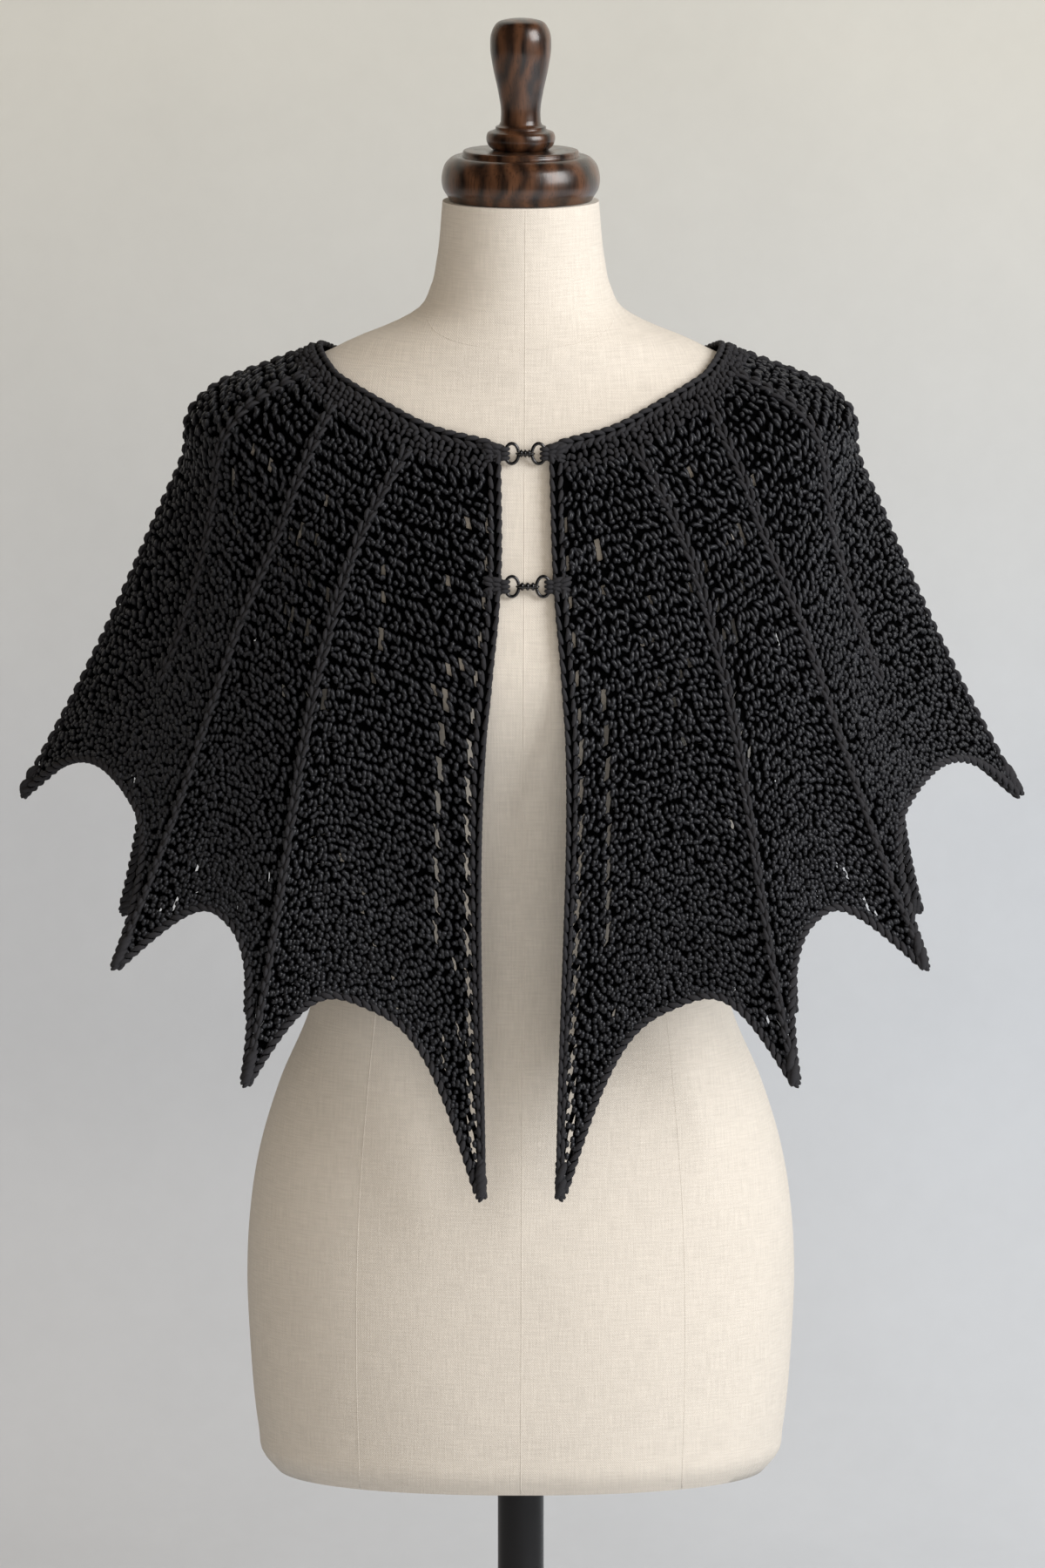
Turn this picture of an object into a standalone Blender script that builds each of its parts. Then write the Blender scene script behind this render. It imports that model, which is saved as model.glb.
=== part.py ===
"""Crochet bat-wing capelet on a limbless dress form.

Metres, +Z up. The front faces -Y and the origin is the centre of the stand
base's underside. The capelet is one surface, cape(u, v), in Python below:
u counts the ribs from the front edge (0) round the right side to the centre
back (8), and v runs from the neckline (0) to the scalloped hem (1). The left
side is its mirror image, but for the front opening, which hangs a little to +X.
"""

import math

import bmesh
import bpy
import numpy as np

GAP = 0.0003

# Stand
BASE_RADIUS = 0.155
BASE_HEIGHT = 0.014
POLE_RADIUS = 0.0138

# Dress form. Columns: height, half width, front depth, back depth, squareness.
FORM_SECTIONS = np.array(
    [
        (0.280, 0.146, 0.104, 0.112, 2.2),
        (0.290, 0.1545, 0.110, 0.118, 2.2),
        (0.304, 0.157, 0.112, 0.121, 2.2),
        (0.360, 0.1623, 0.115, 0.126, 2.2),
        (0.400, 0.1638, 0.115, 0.128, 2.2),
        (0.430, 0.1625, 0.114, 0.126, 2.2),
        (0.472, 0.1565, 0.110, 0.116, 2.2),
        (0.514, 0.144, 0.103, 0.101, 2.2),
        (0.556, 0.1265, 0.0945, 0.086, 2.2),
        (0.600, 0.1185, 0.0895, 0.078, 2.2),
        (0.650, 0.124, 0.095, 0.083, 2.2),
        (0.700, 0.1345, 0.107, 0.092, 2.2),
        (0.740, 0.143, 0.122, 0.099, 2.2),
        (0.775, 0.149, 0.130, 0.104, 2.2),
        (0.810, 0.157, 0.124, 0.107, 2.2),
        (0.840, 0.168, 0.111, 0.108, 2.2),
        (0.870, 0.181, 0.098, 0.107, 2.2),
        (0.897, 0.192, 0.086, 0.102, 2.1),
        (0.9175, 0.189, 0.078, 0.095, 1.9),
        (0.931, 0.170, 0.072, 0.089, 1.7),
        (0.9395, 0.147, 0.068, 0.085, 1.65),
        (0.952, 0.117, 0.065, 0.080, 1.7),
        (0.961, 0.098, 0.062, 0.075, 1.8),
        (0.9685, 0.0785, 0.059, 0.070, 1.9),
        (0.976, 0.064, 0.056, 0.064, 2.0),
        (0.992, 0.0535, 0.0515, 0.055, 2.0),
        (1.008, 0.050, 0.049, 0.050, 2.0),
        (1.043, 0.0465, 0.0465, 0.0465, 2.0),
    ]
)
FORM_BOTTOM = FORM_SECTIONS[0, 0]
FORM_TOP = FORM_SECTIONS[-1, 0]
FORM_EXTRA_HEIGHTS = (0.332, 0.7925)
FORM_SIDES = 26

# Turned neck cap and finial: radius and height above the form's top.
CAP_PROFILE = (
    (0.0330, 0.0300),
    (0.0345, 0.0290),
    (0.0345, 0.0268),
    (0.0400, 0.0262),
    (0.0445, 0.0225),
    (0.0470, 0.0150),
    (0.0465, 0.0075),
    (0.0430, 0.0015),
    (0.0400, 0.0),
)
FINIAL_PROFILE = (
    (0.0080, 0.1080),
    (0.0140, 0.1060),
    (0.0175, 0.1000),
    (0.0182, 0.0920),
    (0.0165, 0.0790),
    (0.0135, 0.0650),
    (0.0118, 0.0530),
    (0.0120, 0.0455),
    (0.0150, 0.0425),
    (0.0195, 0.0405),
    (0.0205, 0.0365),
    (0.0190, 0.0325),
    (0.0165, 0.0303),
)
TURNED_STEPS = 20

# Capelet cloth
WALL_HALF = 0.002
RIDGE = 0.0022
FORM_CLEARANCE = 0.0045
LIFT_SOFTNESS = 0.004
SAG = 0.006
HOLLOW = 0.0045
HOLLOW_START = 0.4
NECKBAND_END = 0.042
NECKBAND_GAP = 0.0005
BAND_WIDTH = 0.007
BAND_HALF = 0.0026
HEM_ROPE_RADIUS = 0.0028

# The front opening hangs a little to +X: how far at most and at what height,
# and how soon that fades to each side and up and down.
OPENING_SHIFT = 0.0045
OPENING_SHIFT_HEIGHT = 0.80
OPENING_SHIFT_WIDE = 0.06
OPENING_SHIFT_TALL = 0.15

# Neckline seen from above: half width, front depth, back depth, squareness.
NECKLINE = (0.118, 0.0825, 0.085, 2.2)

# Ribs, front edge to centre back. Columns: place on the neckline in degrees
# from the front, then the points at a fifth, two fifths and all of its length.
RIBS = (
    (8.7, (0.0222, -0.118, 0.825), (0.0294, -0.136, 0.742), (0.0242, -0.149, 0.471)),
    (27.5, (0.096, -0.100, 0.851), (0.120, -0.118, 0.772), (0.162, -0.150, 0.537)),
    (57.3, (0.133, -0.070, 0.873), (0.1645, -0.084, 0.803), (0.239, -0.112, 0.601)),
    (72.4, (0.170, -0.036, 0.904), (0.1885, -0.050, 0.837), (0.2825, -0.068, 0.638)),
    (90.0, (0.178, 0.0, 0.924), (0.2085, 0.0, 0.869), (0.2965, 0.0, 0.688)),
    (107.6, (0.170, 0.040, 0.904), (0.1885, 0.056, 0.837), (0.2825, 0.070, 0.638)),
    (122.7, (0.133, 0.085, 0.873), (0.1645, 0.092, 0.803), (0.239, 0.112, 0.601)),
    (152.5, (0.096, 0.103, 0.851), (0.120, 0.115, 0.772), (0.164, 0.145, 0.534)),
    (180.0, (0.0, 0.113, 0.860), (0.0, 0.121, 0.775), (0.0, 0.148, 0.510)),
)
RIB_STATIONS = (0.0, 0.2, 0.4, 1.0)
CENTRE_BACK = len(RIBS) - 1

# Gores between the hem's points. Columns: name, first rib, last rib, depth of
# the hem's arch as a share of the cloth's length, where it peaks, its fullness.
GORES = (
    ("front", 0, 1, 0.18, 1.08, 3.0),
    ("front_side", 1, 2, 0.187, 0.72, 2.5),
    ("shoulder_front", 2, 4, 0.213, 0.66, 2.9),
    ("shoulder_back", 4, 6, 0.213, 1.40, 2.9),
    ("back_side", 6, 7, 0.187, 1.30, 2.5),
    ("back", 7, 8, 0.17, 1.0, 2.5),
)
ARCH_ONSET = 1.5

# Where a gore's mesh has its columns, as shares of its width, and its rows.
PLAIN_COLUMNS = (0.0, 0.05, 0.12, 0.25, 0.42, 0.58, 0.75, 0.88, 0.95, 1.0)
RIBBED_COLUMNS = (0.0, 0.04, 0.10, 0.20, 0.33, 0.455, 0.5, 0.545, 0.67, 0.80, 0.90, 0.96, 1.0)
LADDER_COLUMNS = (0.0, 0.065, 0.15, 0.25, 0.42, 0.58, 0.75, 0.87, 0.94, 1.0)
PLAIN_ROWS = (NECKBAND_END, 0.10, 0.16, 0.23, 0.31, 0.41, 0.53, 0.66, 0.79, 0.90, 1.0)
LADDER_STEP_COUNT = 18
LADDER_ROWS = np.linspace(NECKBAND_END, 1, LADDER_STEP_COUNT + 1)
NECKBAND_ROWS = (0.0, 0.012, NECKBAND_END)
NECKBAND_COLUMNS = np.linspace(0, CENTRE_BACK, 3 * CENTRE_BACK + 1)
RIDGE_SHARE = 0.075
MIDDLE_RIB_END = 0.72
MIDDLE_RIB_HALF = 0.045

# Gaps cut through the stitches: half their width and height as shares of a cell.
LADDER_GAP = (0.28, 0.27)
SECOND_LADDER_GAP = (0.24, 0.26)
SECOND_LADDER_ROWS = range(6, 14)
NEAR_GAP = (0.20, 0.11)
FAR_GAP = (0.13, 0.11)
FAR_GAP_START = 5
MIDDLE_GAP = (0.12, 0.11)
MIDDLE_GAP_START = 6

# Clasps: share of the front edge's length where each sits.
CLASP_PLACES = (0.011, 0.192)
RING_RADIUS = 0.0042
RING_TALL = 1.4
RING_WIRE = 0.0008
LINK_WIRE = 0.0005
YARN_WIRE = 0.0006
RING_STEPS = 12
WIRE_SIDES = 5


def clear_scene():
    for obj in list(bpy.data.objects):
        bpy.data.objects.remove(obj, do_unlink=True)


def new_collection(name):
    collection = bpy.data.collections.new(name)
    bpy.context.scene.collection.children.link(collection)
    return collection


def material(name, colour, roughness, metallic=0.0):
    mat = bpy.data.materials.new(name)
    mat.use_nodes = True
    shader = mat.node_tree.nodes["Principled BSDF"]
    shader.inputs["Base Color"].default_value = (*colour, 1.0)
    shader.inputs["Roughness"].default_value = roughness
    shader.inputs["Metallic"].default_value = metallic
    return mat


def add_object(name, data, mat, collection):
    obj = bpy.data.objects.new(name, data)
    obj.data.materials.append(mat)
    collection.objects.link(obj)
    return obj


def move_to(obj, collection):
    for holder in list(obj.users_collection):
        holder.objects.unlink(obj)
    collection.objects.link(obj)


def hermite(x, knots, values):
    """Smooth curve through values at uneven knots, slopes from neighbours."""
    knots = np.asarray(knots, float)
    values = np.asarray(values, float)
    slopes = np.gradient(values, knots, axis=0)
    x = np.clip(x, knots[0], knots[-1])
    i = np.clip(np.searchsorted(knots, x) - 1, 0, len(knots) - 2)
    width = (knots[i + 1] - knots[i])[..., None]
    s = (x - knots[i])[..., None] / width
    return (
        (2 * s**3 - 3 * s**2 + 1) * values[i]
        + (s**3 - 2 * s**2 + s) * width * slopes[i]
        + (3 * s**2 - 2 * s**3) * values[i + 1]
        + (s**3 - s**2) * width * slopes[i + 1]
    )


def form_section(z):
    return np.moveaxis(hermite(z, FORM_SECTIONS[:, 0], FORM_SECTIONS[:, 1:]), -1, 0)


def form_level(points):
    """Below zero inside the dress form, zero on it, above zero outside."""
    half_width, front, back, squareness = form_section(points[..., 2])
    depth = np.where(points[..., 1] < 0, front, back)
    across = np.abs(points[..., 0] / half_width) ** squareness
    deep = np.abs(points[..., 1] / depth) ** squareness
    return (across + deep) ** (1 / squareness) - 1


def form_distance(points):
    """Distance from the form's surface, and the direction away from it."""
    step = 0.0005
    slope = np.stack(
        [form_level(points + step * axis) - form_level(points - step * axis) for axis in np.eye(3)],
        axis=-1,
    ) / (2 * step)
    steepness = np.linalg.norm(slope, axis=-1)
    return form_level(points) / steepness, slope / steepness[..., None]


def height_on_form(x, y):
    """Height of the form's shoulder surface over plan points."""
    low = np.full(np.shape(x), 0.80)
    high = np.full(np.shape(x), 1.00)
    for _ in range(30):
        middle = (low + high) / 2
        inside = form_level(np.stack([x, y, middle], axis=-1)) < 0
        low = np.where(inside, middle, low)
        high = np.where(inside, high, middle)
    return (low + high) / 2


def neckline_point(degrees):
    half_width, front, back, squareness = NECKLINE
    sine = math.sin(math.radians(degrees))
    cosine = math.cos(math.radians(degrees))
    x = half_width * abs(sine) ** (2 / squareness)
    depth = front if cosine > 0 else back
    y = -math.copysign(depth * abs(cosine) ** (2 / squareness), cosine)
    return (x, y, float(height_on_form(np.array(x), np.array(y))))


RIB_POINTS = np.array([(neckline_point(degrees), *points) for degrees, *points in RIBS])


def between_ribs(u, share):
    """Point at share of the length, smooth round the top and straight at the hem."""
    ribs = np.stack([hermite(share, RIB_STATIONS, points) for points in RIB_POINTS])
    before = 2 * ribs[:1] - ribs[1:2]
    after = ribs[-2:-1] * np.array([-1, 1, 1])
    ribs = np.concatenate([before, ribs, after])
    i = np.clip(np.floor(u).astype(int), 0, CENTRE_BACK - 1)
    s = (u - i)[..., None]
    picked = []
    for offset in range(4):
        index = np.broadcast_to((i + offset)[None, ..., None], (1, *u.shape, 3))
        picked.append(np.take_along_axis(ribs, index, axis=0)[0])
    p0, p1, p2, p3 = picked
    round_way = 0.5 * (
        2 * p1 + (p2 - p0) * s + (2 * p0 - 5 * p1 + 4 * p2 - p3) * s**2 + (3 * p1 - p0 - 3 * p2 + p3) * s**3
    )
    straight_way = p1 + (p2 - p1) * s
    straightness = 0.5 * np.clip((share - 0.3) / 0.7, 0, 1)[..., None]
    return round_way * (1 - straightness) + straight_way * straightness


def place_in_gore(u):
    """Share of the gore's width at u, and how far down the hem reaches there."""
    across = np.zeros_like(u)
    reach = np.ones_like(u)
    for _, first, last, depth, peak, fullness in GORES:
        inside = (u >= first) & (u <= last)
        share = np.clip((u - first) / (last - first), 0, 1)
        arch = 1 - depth * (1 - np.abs(2 * share**peak - 1) ** fullness)
        across = np.where(inside, share, across)
        reach = np.where(inside, arch, reach)
    return across, reach


def cape(u, v):
    """Middle of the capelet's cloth."""
    u, v = np.broadcast_arrays(np.asarray(u, float), np.asarray(v, float))
    past_back = u > CENTRE_BACK
    u = np.clip(np.where(past_back, 2 * CENTRE_BACK - u, u), 0, CENTRE_BACK)
    across, reach = place_in_gore(u)
    share = v * (1 - (1 - reach) * v**ARCH_ONSET)
    points = between_ribs(u, share)
    outward = points[..., :2] / np.linalg.norm(points[..., :2], axis=-1, keepdims=True)
    hollow = HOLLOW * np.sin(np.pi * np.clip((share - HOLLOW_START) / (1 - HOLLOW_START), 0, 1))
    points[..., :2] -= outward * (SAG * np.sin(np.pi * across) * share**2 + hollow)[..., None]
    distance, away = form_distance(points)
    apart = np.sqrt((distance - FORM_CLEARANCE) ** 2 + LIFT_SOFTNESS**2)
    lifted = (distance + FORM_CLEARANCE + apart) / 2
    points = points + away * np.where(distance < 0.05, lifted - distance, 0)[..., None]
    distance, away = form_distance(points)
    points = points + away * np.clip(FORM_CLEARANCE - distance, 0, None)[..., None]
    return points * np.where(past_back[..., None], np.array([-1, 1, 1]), 1)


def cape_frame(u, v):
    """Point, unit tangent round the body, unit tangent down, unit normal out."""
    step = 0.02
    u, v = np.broadcast_arrays(np.asarray(u, float), np.asarray(v, float))
    points = cape(u, v)
    along = cape(u + step, v) - cape(np.clip(u - step, 0, None), v)
    down = cape(u, np.clip(v + step, 0, 1)) - cape(u, np.clip(v - step, 0, 1))
    along /= np.linalg.norm(along, axis=-1, keepdims=True)
    down /= np.linalg.norm(down, axis=-1, keepdims=True)
    normal = np.cross(down, along)
    normal /= np.linalg.norm(normal, axis=-1, keepdims=True)
    return points, along, down, normal


def move_onto_chords(points, places, line, corners):
    """Move points of the curve line(place) onto the straight runs between its corners."""
    straight = line(np.asarray(corners, float))
    for axis in range(3):
        points[:, axis] += np.interp(places, corners, straight[:, axis])
    points -= line(places)


def cape_face(u, v, lift):
    points, _, _, normal = cape_frame(u, v)
    return points + normal * lift


def mesh_from(name, vertices, faces):
    mesh = bpy.data.meshes.new(name)
    mesh.from_pydata([tuple(point) for point in vertices], [], faces)
    working = bmesh.new()
    working.from_mesh(mesh)
    bmesh.ops.recalc_face_normals(working, faces=working.faces)
    working.to_mesh(mesh)
    working.free()
    mesh.validate()
    return mesh


def loft(name, rings):
    """Closed solid through rings of equal point count, with flat ends."""
    count = len(rings[0])
    vertices = [point for ring in rings for point in ring]
    faces = []
    for row in range(len(rings) - 1):
        for side in range(count):
            a = row * count + side
            b = row * count + (side + 1) % count
            faces.append((a, b, b + count, a + count))
    faces.append(tuple(range(count)))
    last = (len(rings) - 1) * count
    faces.append(tuple(range(last, last + count)))
    return mesh_from(name, vertices, faces)


def wall(name, inner, outer, windows=None):
    """Cloth wall between two grids of points, with a window cut through some cells.

    windows maps a cell (row, column) to its four inner and four outer corners.
    """
    windows = windows or {}
    rows, columns = inner.shape[:2]
    vertices = list(inner.reshape(-1, 3)) + list(outer.reshape(-1, 3))
    size = rows * columns
    faces = []
    for row in range(rows - 1):
        for column in range(columns - 1):
            a = row * columns + column
            cell = (a, a + 1, a + columns + 1, a + columns)
            if (row, column) not in windows:
                faces.append(cell)
                faces.append(tuple(size + corner for corner in reversed(cell)))
                continue
            first = len(vertices)
            inner_hole, outer_hole = windows[row, column]
            vertices += list(inner_hole) + list(outer_hole)
            for side in range(4):
                turn = (side + 1) % 4
                near = (first + side, first + turn)
                far = (first + 4 + side, first + 4 + turn)
                faces.append((cell[side], cell[turn], near[1], near[0]))
                faces.append((size + cell[turn], size + cell[side], far[0], far[1]))
                faces.append((near[0], near[1], far[1], far[0]))
    top = list(range(columns))
    right = [row * columns + columns - 1 for row in range(rows)]
    bottom = [(rows - 1) * columns + column for column in reversed(range(columns))]
    left = [row * columns for row in reversed(range(rows))]
    for edge in (top, right):
        faces += [(b, a, size + a, size + b) for a, b in zip(edge, edge[1:])]
    for edge in (bottom, left):
        faces += [(size + b, b, a, size + a) for a, b in zip(edge, edge[1:])]
    return mesh_from(name, vertices, faces)


def opening_shift(points):
    """How far the front opening is carried to +X at these points."""
    x, y, z = np.moveaxis(points, -1, 0)
    fade = (x / OPENING_SHIFT_WIDE) ** 2 + ((z - OPENING_SHIFT_HEIGHT) / OPENING_SHIFT_TALL) ** 2
    return OPENING_SHIFT * np.exp(-fade) * (y < 0)


def mirrored(grid, side):
    """The right side's points or their mirror image, with the opening's shift."""
    placed = grid * np.array([side, 1, 1])
    placed[..., 0] += opening_shift(placed)
    return placed


def ridge_height(across, v, has_middle_rib):
    """How far the outer face stands up along the ribs at a gore's sides and middle."""
    edge = np.minimum(across, 1 - across)
    height = np.clip(1 - edge / RIDGE_SHARE * 0.5, 0, 1) * (edge <= RIDGE_SHARE)
    if has_middle_rib:
        middle = np.clip(1 - np.abs(across - 0.5) / MIDDLE_RIB_HALF, 0, 1)
        height = np.maximum(height, middle * (v < MIDDLE_RIB_END))
    return RIDGE * height * (v > NECKBAND_END)


def gore_windows(gore, columns, rows, has_middle_rib):
    """Cells with a gap through the stitches, with each gap's share of its cell."""
    if gore == "front":
        beside_band = {(row, 0): LADDER_GAP for row in range(1, LADDER_STEP_COUNT)}
        second = {(row, 2): SECOND_LADDER_GAP for row in SECOND_LADDER_ROWS}
        return beside_band | second
    left = 2
    right = len(columns) - 4
    middle = len(columns) // 2 - 1
    found = {}
    for row in range(2, len(rows) - 2):
        near, far = (left, right) if row % 2 else (right, left)
        found[row, near] = NEAR_GAP
        if row >= FAR_GAP_START:
            found[row, far] = FAR_GAP
        if row >= MIDDLE_GAP_START and not has_middle_rib:
            found[row, middle] = MIDDLE_GAP
    return found


def gore_columns(gore, has_middle_rib):
    if gore == "front":
        return LADDER_COLUMNS
    return RIBBED_COLUMNS if has_middle_rib else PLAIN_COLUMNS


def gore_solid(gore, first, last, side, mat, collection):
    has_middle_rib = last - first == 2
    columns = gore_columns(gore, has_middle_rib)
    rows = LADDER_ROWS if gore == "front" else PLAIN_ROWS
    across, v = np.meshgrid(np.array(columns), np.array(rows))
    u = first + across * (last - first)
    points, along, down, normal = cape_frame(u, v)
    points[:, 0] += along[:, 0] * GAP / 2
    points[:, -1] -= along[:, -1] * GAP / 2
    points[0] += down[0] * GAP / 2
    faces = []
    for lift in (-WALL_HALF, WALL_HALF):
        face = points + normal * lift
        move_onto_chords(face[0], u[0], lambda place: cape_face(place, NECKBAND_END, lift), NECKBAND_COLUMNS)
        if gore == "front":
            move_onto_chords(face[:, -1], v[:, -1], lambda place: cape_face(last, place, lift), PLAIN_ROWS)
        faces.append(face)
    inner, outer = faces
    outer += normal * ridge_height(across, v, has_middle_rib)[..., None]
    windows = {}
    for (row, column), (wide, tall) in gore_windows(gore, columns, rows, has_middle_rib).items():
        shares = np.array([(-wide, -tall), (wide, -tall), (wide, tall), (-wide, tall)]) + 0.5
        step_across = columns[column + 1] - columns[column]
        step_down = rows[row + 1] - rows[row]
        hole_across = columns[column] + shares[:, 0] * step_across
        hole_v = rows[row] + shares[:, 1] * step_down
        hole_u = first + hole_across * (last - first)
        hole, _, _, out = cape_frame(hole_u, hole_v)
        windows[row, column] = (
            mirrored(hole - out * WALL_HALF, side),
            mirrored(hole + out * WALL_HALF, side),
        )
    name = f"gore_{gore}_{side_name(side)}"
    mesh = wall(name, mirrored(inner, side), mirrored(outer, side), windows)
    add_object(name, mesh, mat, collection)


def side_name(side):
    return "right" if side > 0 else "left"


def front_band(side, mat, collection):
    """Braided band down the front edge, from the neckband to the front point."""
    v = np.array([*NECKBAND_ROWS[:-1], *LADDER_ROWS])[:, None] * np.ones((1, 2))
    points, along, _, normal = cape_frame(np.zeros_like(v), v)
    points[:, 0] -= along[:, 0] * BAND_WIDTH
    points[:, 1] -= along[:, 1] * GAP / 2
    name = f"front_band_{side_name(side)}"
    inner = mirrored(points - normal * BAND_HALF, side)
    outer = mirrored(points + normal * (BAND_HALF + RIDGE / 2), side)
    add_object(name, wall(name, inner, outer), mat, collection)


def neckband(side, mat, collection):
    """Tight rows round the neck, thickest along their top edge."""
    u, v = np.meshgrid(NECKBAND_COLUMNS, np.array(NECKBAND_ROWS))
    points, along, down, normal = cape_frame(u, v)
    points[:, 0] += along[:, 0] * GAP / 2
    points[:, -1] -= along[:, -1] * GAP / 2
    points[-1] -= down[-1] * NECKBAND_GAP
    thickness = WALL_HALF + np.array([RIDGE / 2, RIDGE / 2, 0.0])[:, None, None]
    name = f"neckband_{side_name(side)}"
    inner = mirrored(points - normal * WALL_HALF, side)
    outer = mirrored(points + normal * thickness, side)
    add_object(name, wall(name, inner, outer), mat, collection)


def tube(name, points, radius, mat, collection, resolution=1, cyclic=False):
    curve = bpy.data.curves.new(name, "CURVE")
    curve.dimensions = "3D"
    curve.bevel_depth = radius
    curve.bevel_resolution = resolution
    curve.use_fill_caps = not cyclic
    spline = curve.splines.new("POLY")
    spline.points.add(len(points) - 1)
    for spot, point in zip(spline.points, points):
        spot.co = (*point, 1.0)
    spline.use_cyclic_u = cyclic
    return add_object(name, curve, mat, collection)


def hem_rope(gore, first, last, side, mat, collection):
    """Rope of slanting stitches along one arch of the hem."""
    u = first + np.array(gore_columns(gore, last - first == 2)) * (last - first)
    points, _, _, normal = cape_frame(u, np.ones_like(u))
    run = np.gradient(points, axis=0)
    below = np.cross(run, normal)
    below /= np.linalg.norm(below, axis=-1, keepdims=True)
    middle = points + below * (HEM_ROPE_RADIUS + GAP * 2)
    name = f"hem_rope_{gore}_{side_name(side)}"
    tube(name, mirrored(middle, side), HEM_ROPE_RADIUS, mat, collection)


def oval(centre, half_length, half_width, corners=4):
    """Points round a horizontal oval, long in X."""
    centre_x, centre_y, centre_z = centre
    points = []
    for end in (1, -1):
        for step in range(corners):
            angle = math.pi * (step / (corners - 1) - 0.5) + (0 if end > 0 else math.pi)
            x = centre_x + end * (half_length - half_width) + half_width * math.cos(angle)
            points.append((x, centre_y + half_width * math.sin(angle), centre_z))
    return points


def wire_ring(name, centre, radius, wire, tilt, tall, mat, collection):
    """Ring of wire, flat where tilt is 0 and upright where it is a right angle.

    tall is its height as a share of its width.
    """
    bpy.ops.mesh.primitive_torus_add(
        major_segments=RING_STEPS,
        minor_segments=WIRE_SIDES,
        major_radius=radius,
        minor_radius=wire,
        location=centre,
        rotation=(tilt, 0, 0),
    )
    ring = bpy.context.object
    ring.name = name
    ring.scale.y = tall
    ring.data.materials.append(mat)
    move_to(ring, collection)


def clasp(label, v, metal, yarn, collection):
    """Ring at each front edge on a yarn loop, joined by an oval link."""
    point, along, _, _ = (value[0] for value in cape_frame([0.0], [v]))
    edge = point - along * BAND_WIDTH
    loop_radius = RING_WIRE + GAP + YARN_WIRE
    loop_x = edge[0] - GAP - YARN_WIRE - loop_radius
    ring_x = loop_x - RING_RADIUS
    middle = float(opening_shift(edge))
    for side in (-1, 1):
        ring = f"clasp_ring_{label}_{side_name(side)}"
        ring_centre = (middle + side * ring_x, edge[1], edge[2])
        wire_ring(ring, ring_centre, RING_RADIUS, RING_WIRE, math.pi / 2, RING_TALL, metal, collection)
        loop = f"clasp_loop_{label}_{side_name(side)}"
        loop_centre = (middle + side * loop_x, edge[1], edge[2])
        wire_ring(loop, loop_centre, loop_radius, YARN_WIRE, 0.0, 1.0, yarn, collection)
    link_half = ring_x - RING_RADIUS + RING_WIRE + GAP * 2 + LINK_WIRE
    path = oval((middle, edge[1], edge[2]), link_half, RING_WIRE + GAP * 2 + LINK_WIRE)
    tube(f"clasp_link_{label}", path, LINK_WIRE, metal, collection, cyclic=True)


def torso(mat, collection):
    """Body of the dress form, its bottom rim rounded over."""
    rings = []
    for z in sorted([*FORM_SECTIONS[:, 0], *FORM_EXTRA_HEIGHTS]):
        half_width, front, back, squareness = form_section(np.array(z))
        ring = []
        for side in range(FORM_SIDES):
            angle = 2 * math.pi * side / FORM_SIDES
            cosine = math.cos(angle)
            sine = math.sin(angle)
            power = 2 / float(squareness)
            x = math.copysign(float(half_width) * abs(cosine) ** power, cosine)
            depth = float(front if sine < 0 else back)
            ring.append((x, math.copysign(depth * abs(sine) ** power, sine), z))
        rings.append(ring)
    add_object("torso", loft("torso", rings), mat, collection)


def turned(name, profile, lift, mat, collection):
    """Solid of revolution from an outline of radius and height, top to bottom."""
    outline = [(0.0, profile[0][1]), *profile, (0.0, profile[-1][1])]
    mesh = bpy.data.meshes.new(name)
    edges = [(i, i + 1) for i in range(len(outline) - 1)]
    mesh.from_pydata([(radius, 0.0, height + lift) for radius, height in outline], edges, [])
    obj = add_object(name, mesh, mat, collection)
    screw = obj.modifiers.new("Turn", "SCREW")
    screw.axis = "Z"
    screw.steps = TURNED_STEPS
    screw.render_steps = TURNED_STEPS
    screw.use_merge_vertices = True
    screw.merge_threshold = 0.0001
    screw.use_smooth_shade = True
    return obj


def stand(mat, collection):
    base_profile = (
        (BASE_RADIUS - 0.006, BASE_HEIGHT),
        (BASE_RADIUS - 0.0015, BASE_HEIGHT - 0.002),
        (BASE_RADIUS, BASE_HEIGHT - 0.0055),
        (BASE_RADIUS, 0.001),
        (BASE_RADIUS - 0.001, 0.0),
    )
    turned("stand_base", base_profile, 0.0, mat, collection)
    foot = BASE_HEIGHT + GAP
    length = FORM_BOTTOM - GAP - foot
    bpy.ops.mesh.primitive_cylinder_add(
        vertices=24, radius=POLE_RADIUS, depth=length, location=(0, 0, foot + length / 2)
    )
    pole = bpy.context.object
    pole.name = "stand_pole"
    pole.data.materials.append(mat)
    move_to(pole, collection)


def main():
    clear_scene()
    parts = new_collection("Crochet capelet on dress form")
    yarn = material("black_yarn", (0.020, 0.021, 0.025), 0.55)
    linen = material("linen_cover", (0.66, 0.62, 0.54), 0.85)
    wood = material("dark_wood", (0.045, 0.020, 0.012), 0.30)
    painted = material("black_paint", (0.012, 0.012, 0.013), 0.35)
    metal = material("gunmetal", (0.20, 0.20, 0.21), 0.25, 1.0)

    stand(painted, parts)
    torso(linen, parts)
    turned("neck_cap", CAP_PROFILE, FORM_TOP + GAP, wood, parts)
    turned("finial", FINIAL_PROFILE, FORM_TOP + GAP * 2, wood, parts)
    for side in (-1, 1):
        neckband(side, yarn, parts)
        front_band(side, yarn, parts)
        for gore, first, last, *_ in GORES:
            gore_solid(gore, first, last, side, yarn, parts)
            hem_rope(gore, first, last, side, yarn, parts)
    for label, place in zip(("upper", "lower"), CLASP_PLACES):
        clasp(label, place, metal, yarn, parts)


main()
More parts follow.
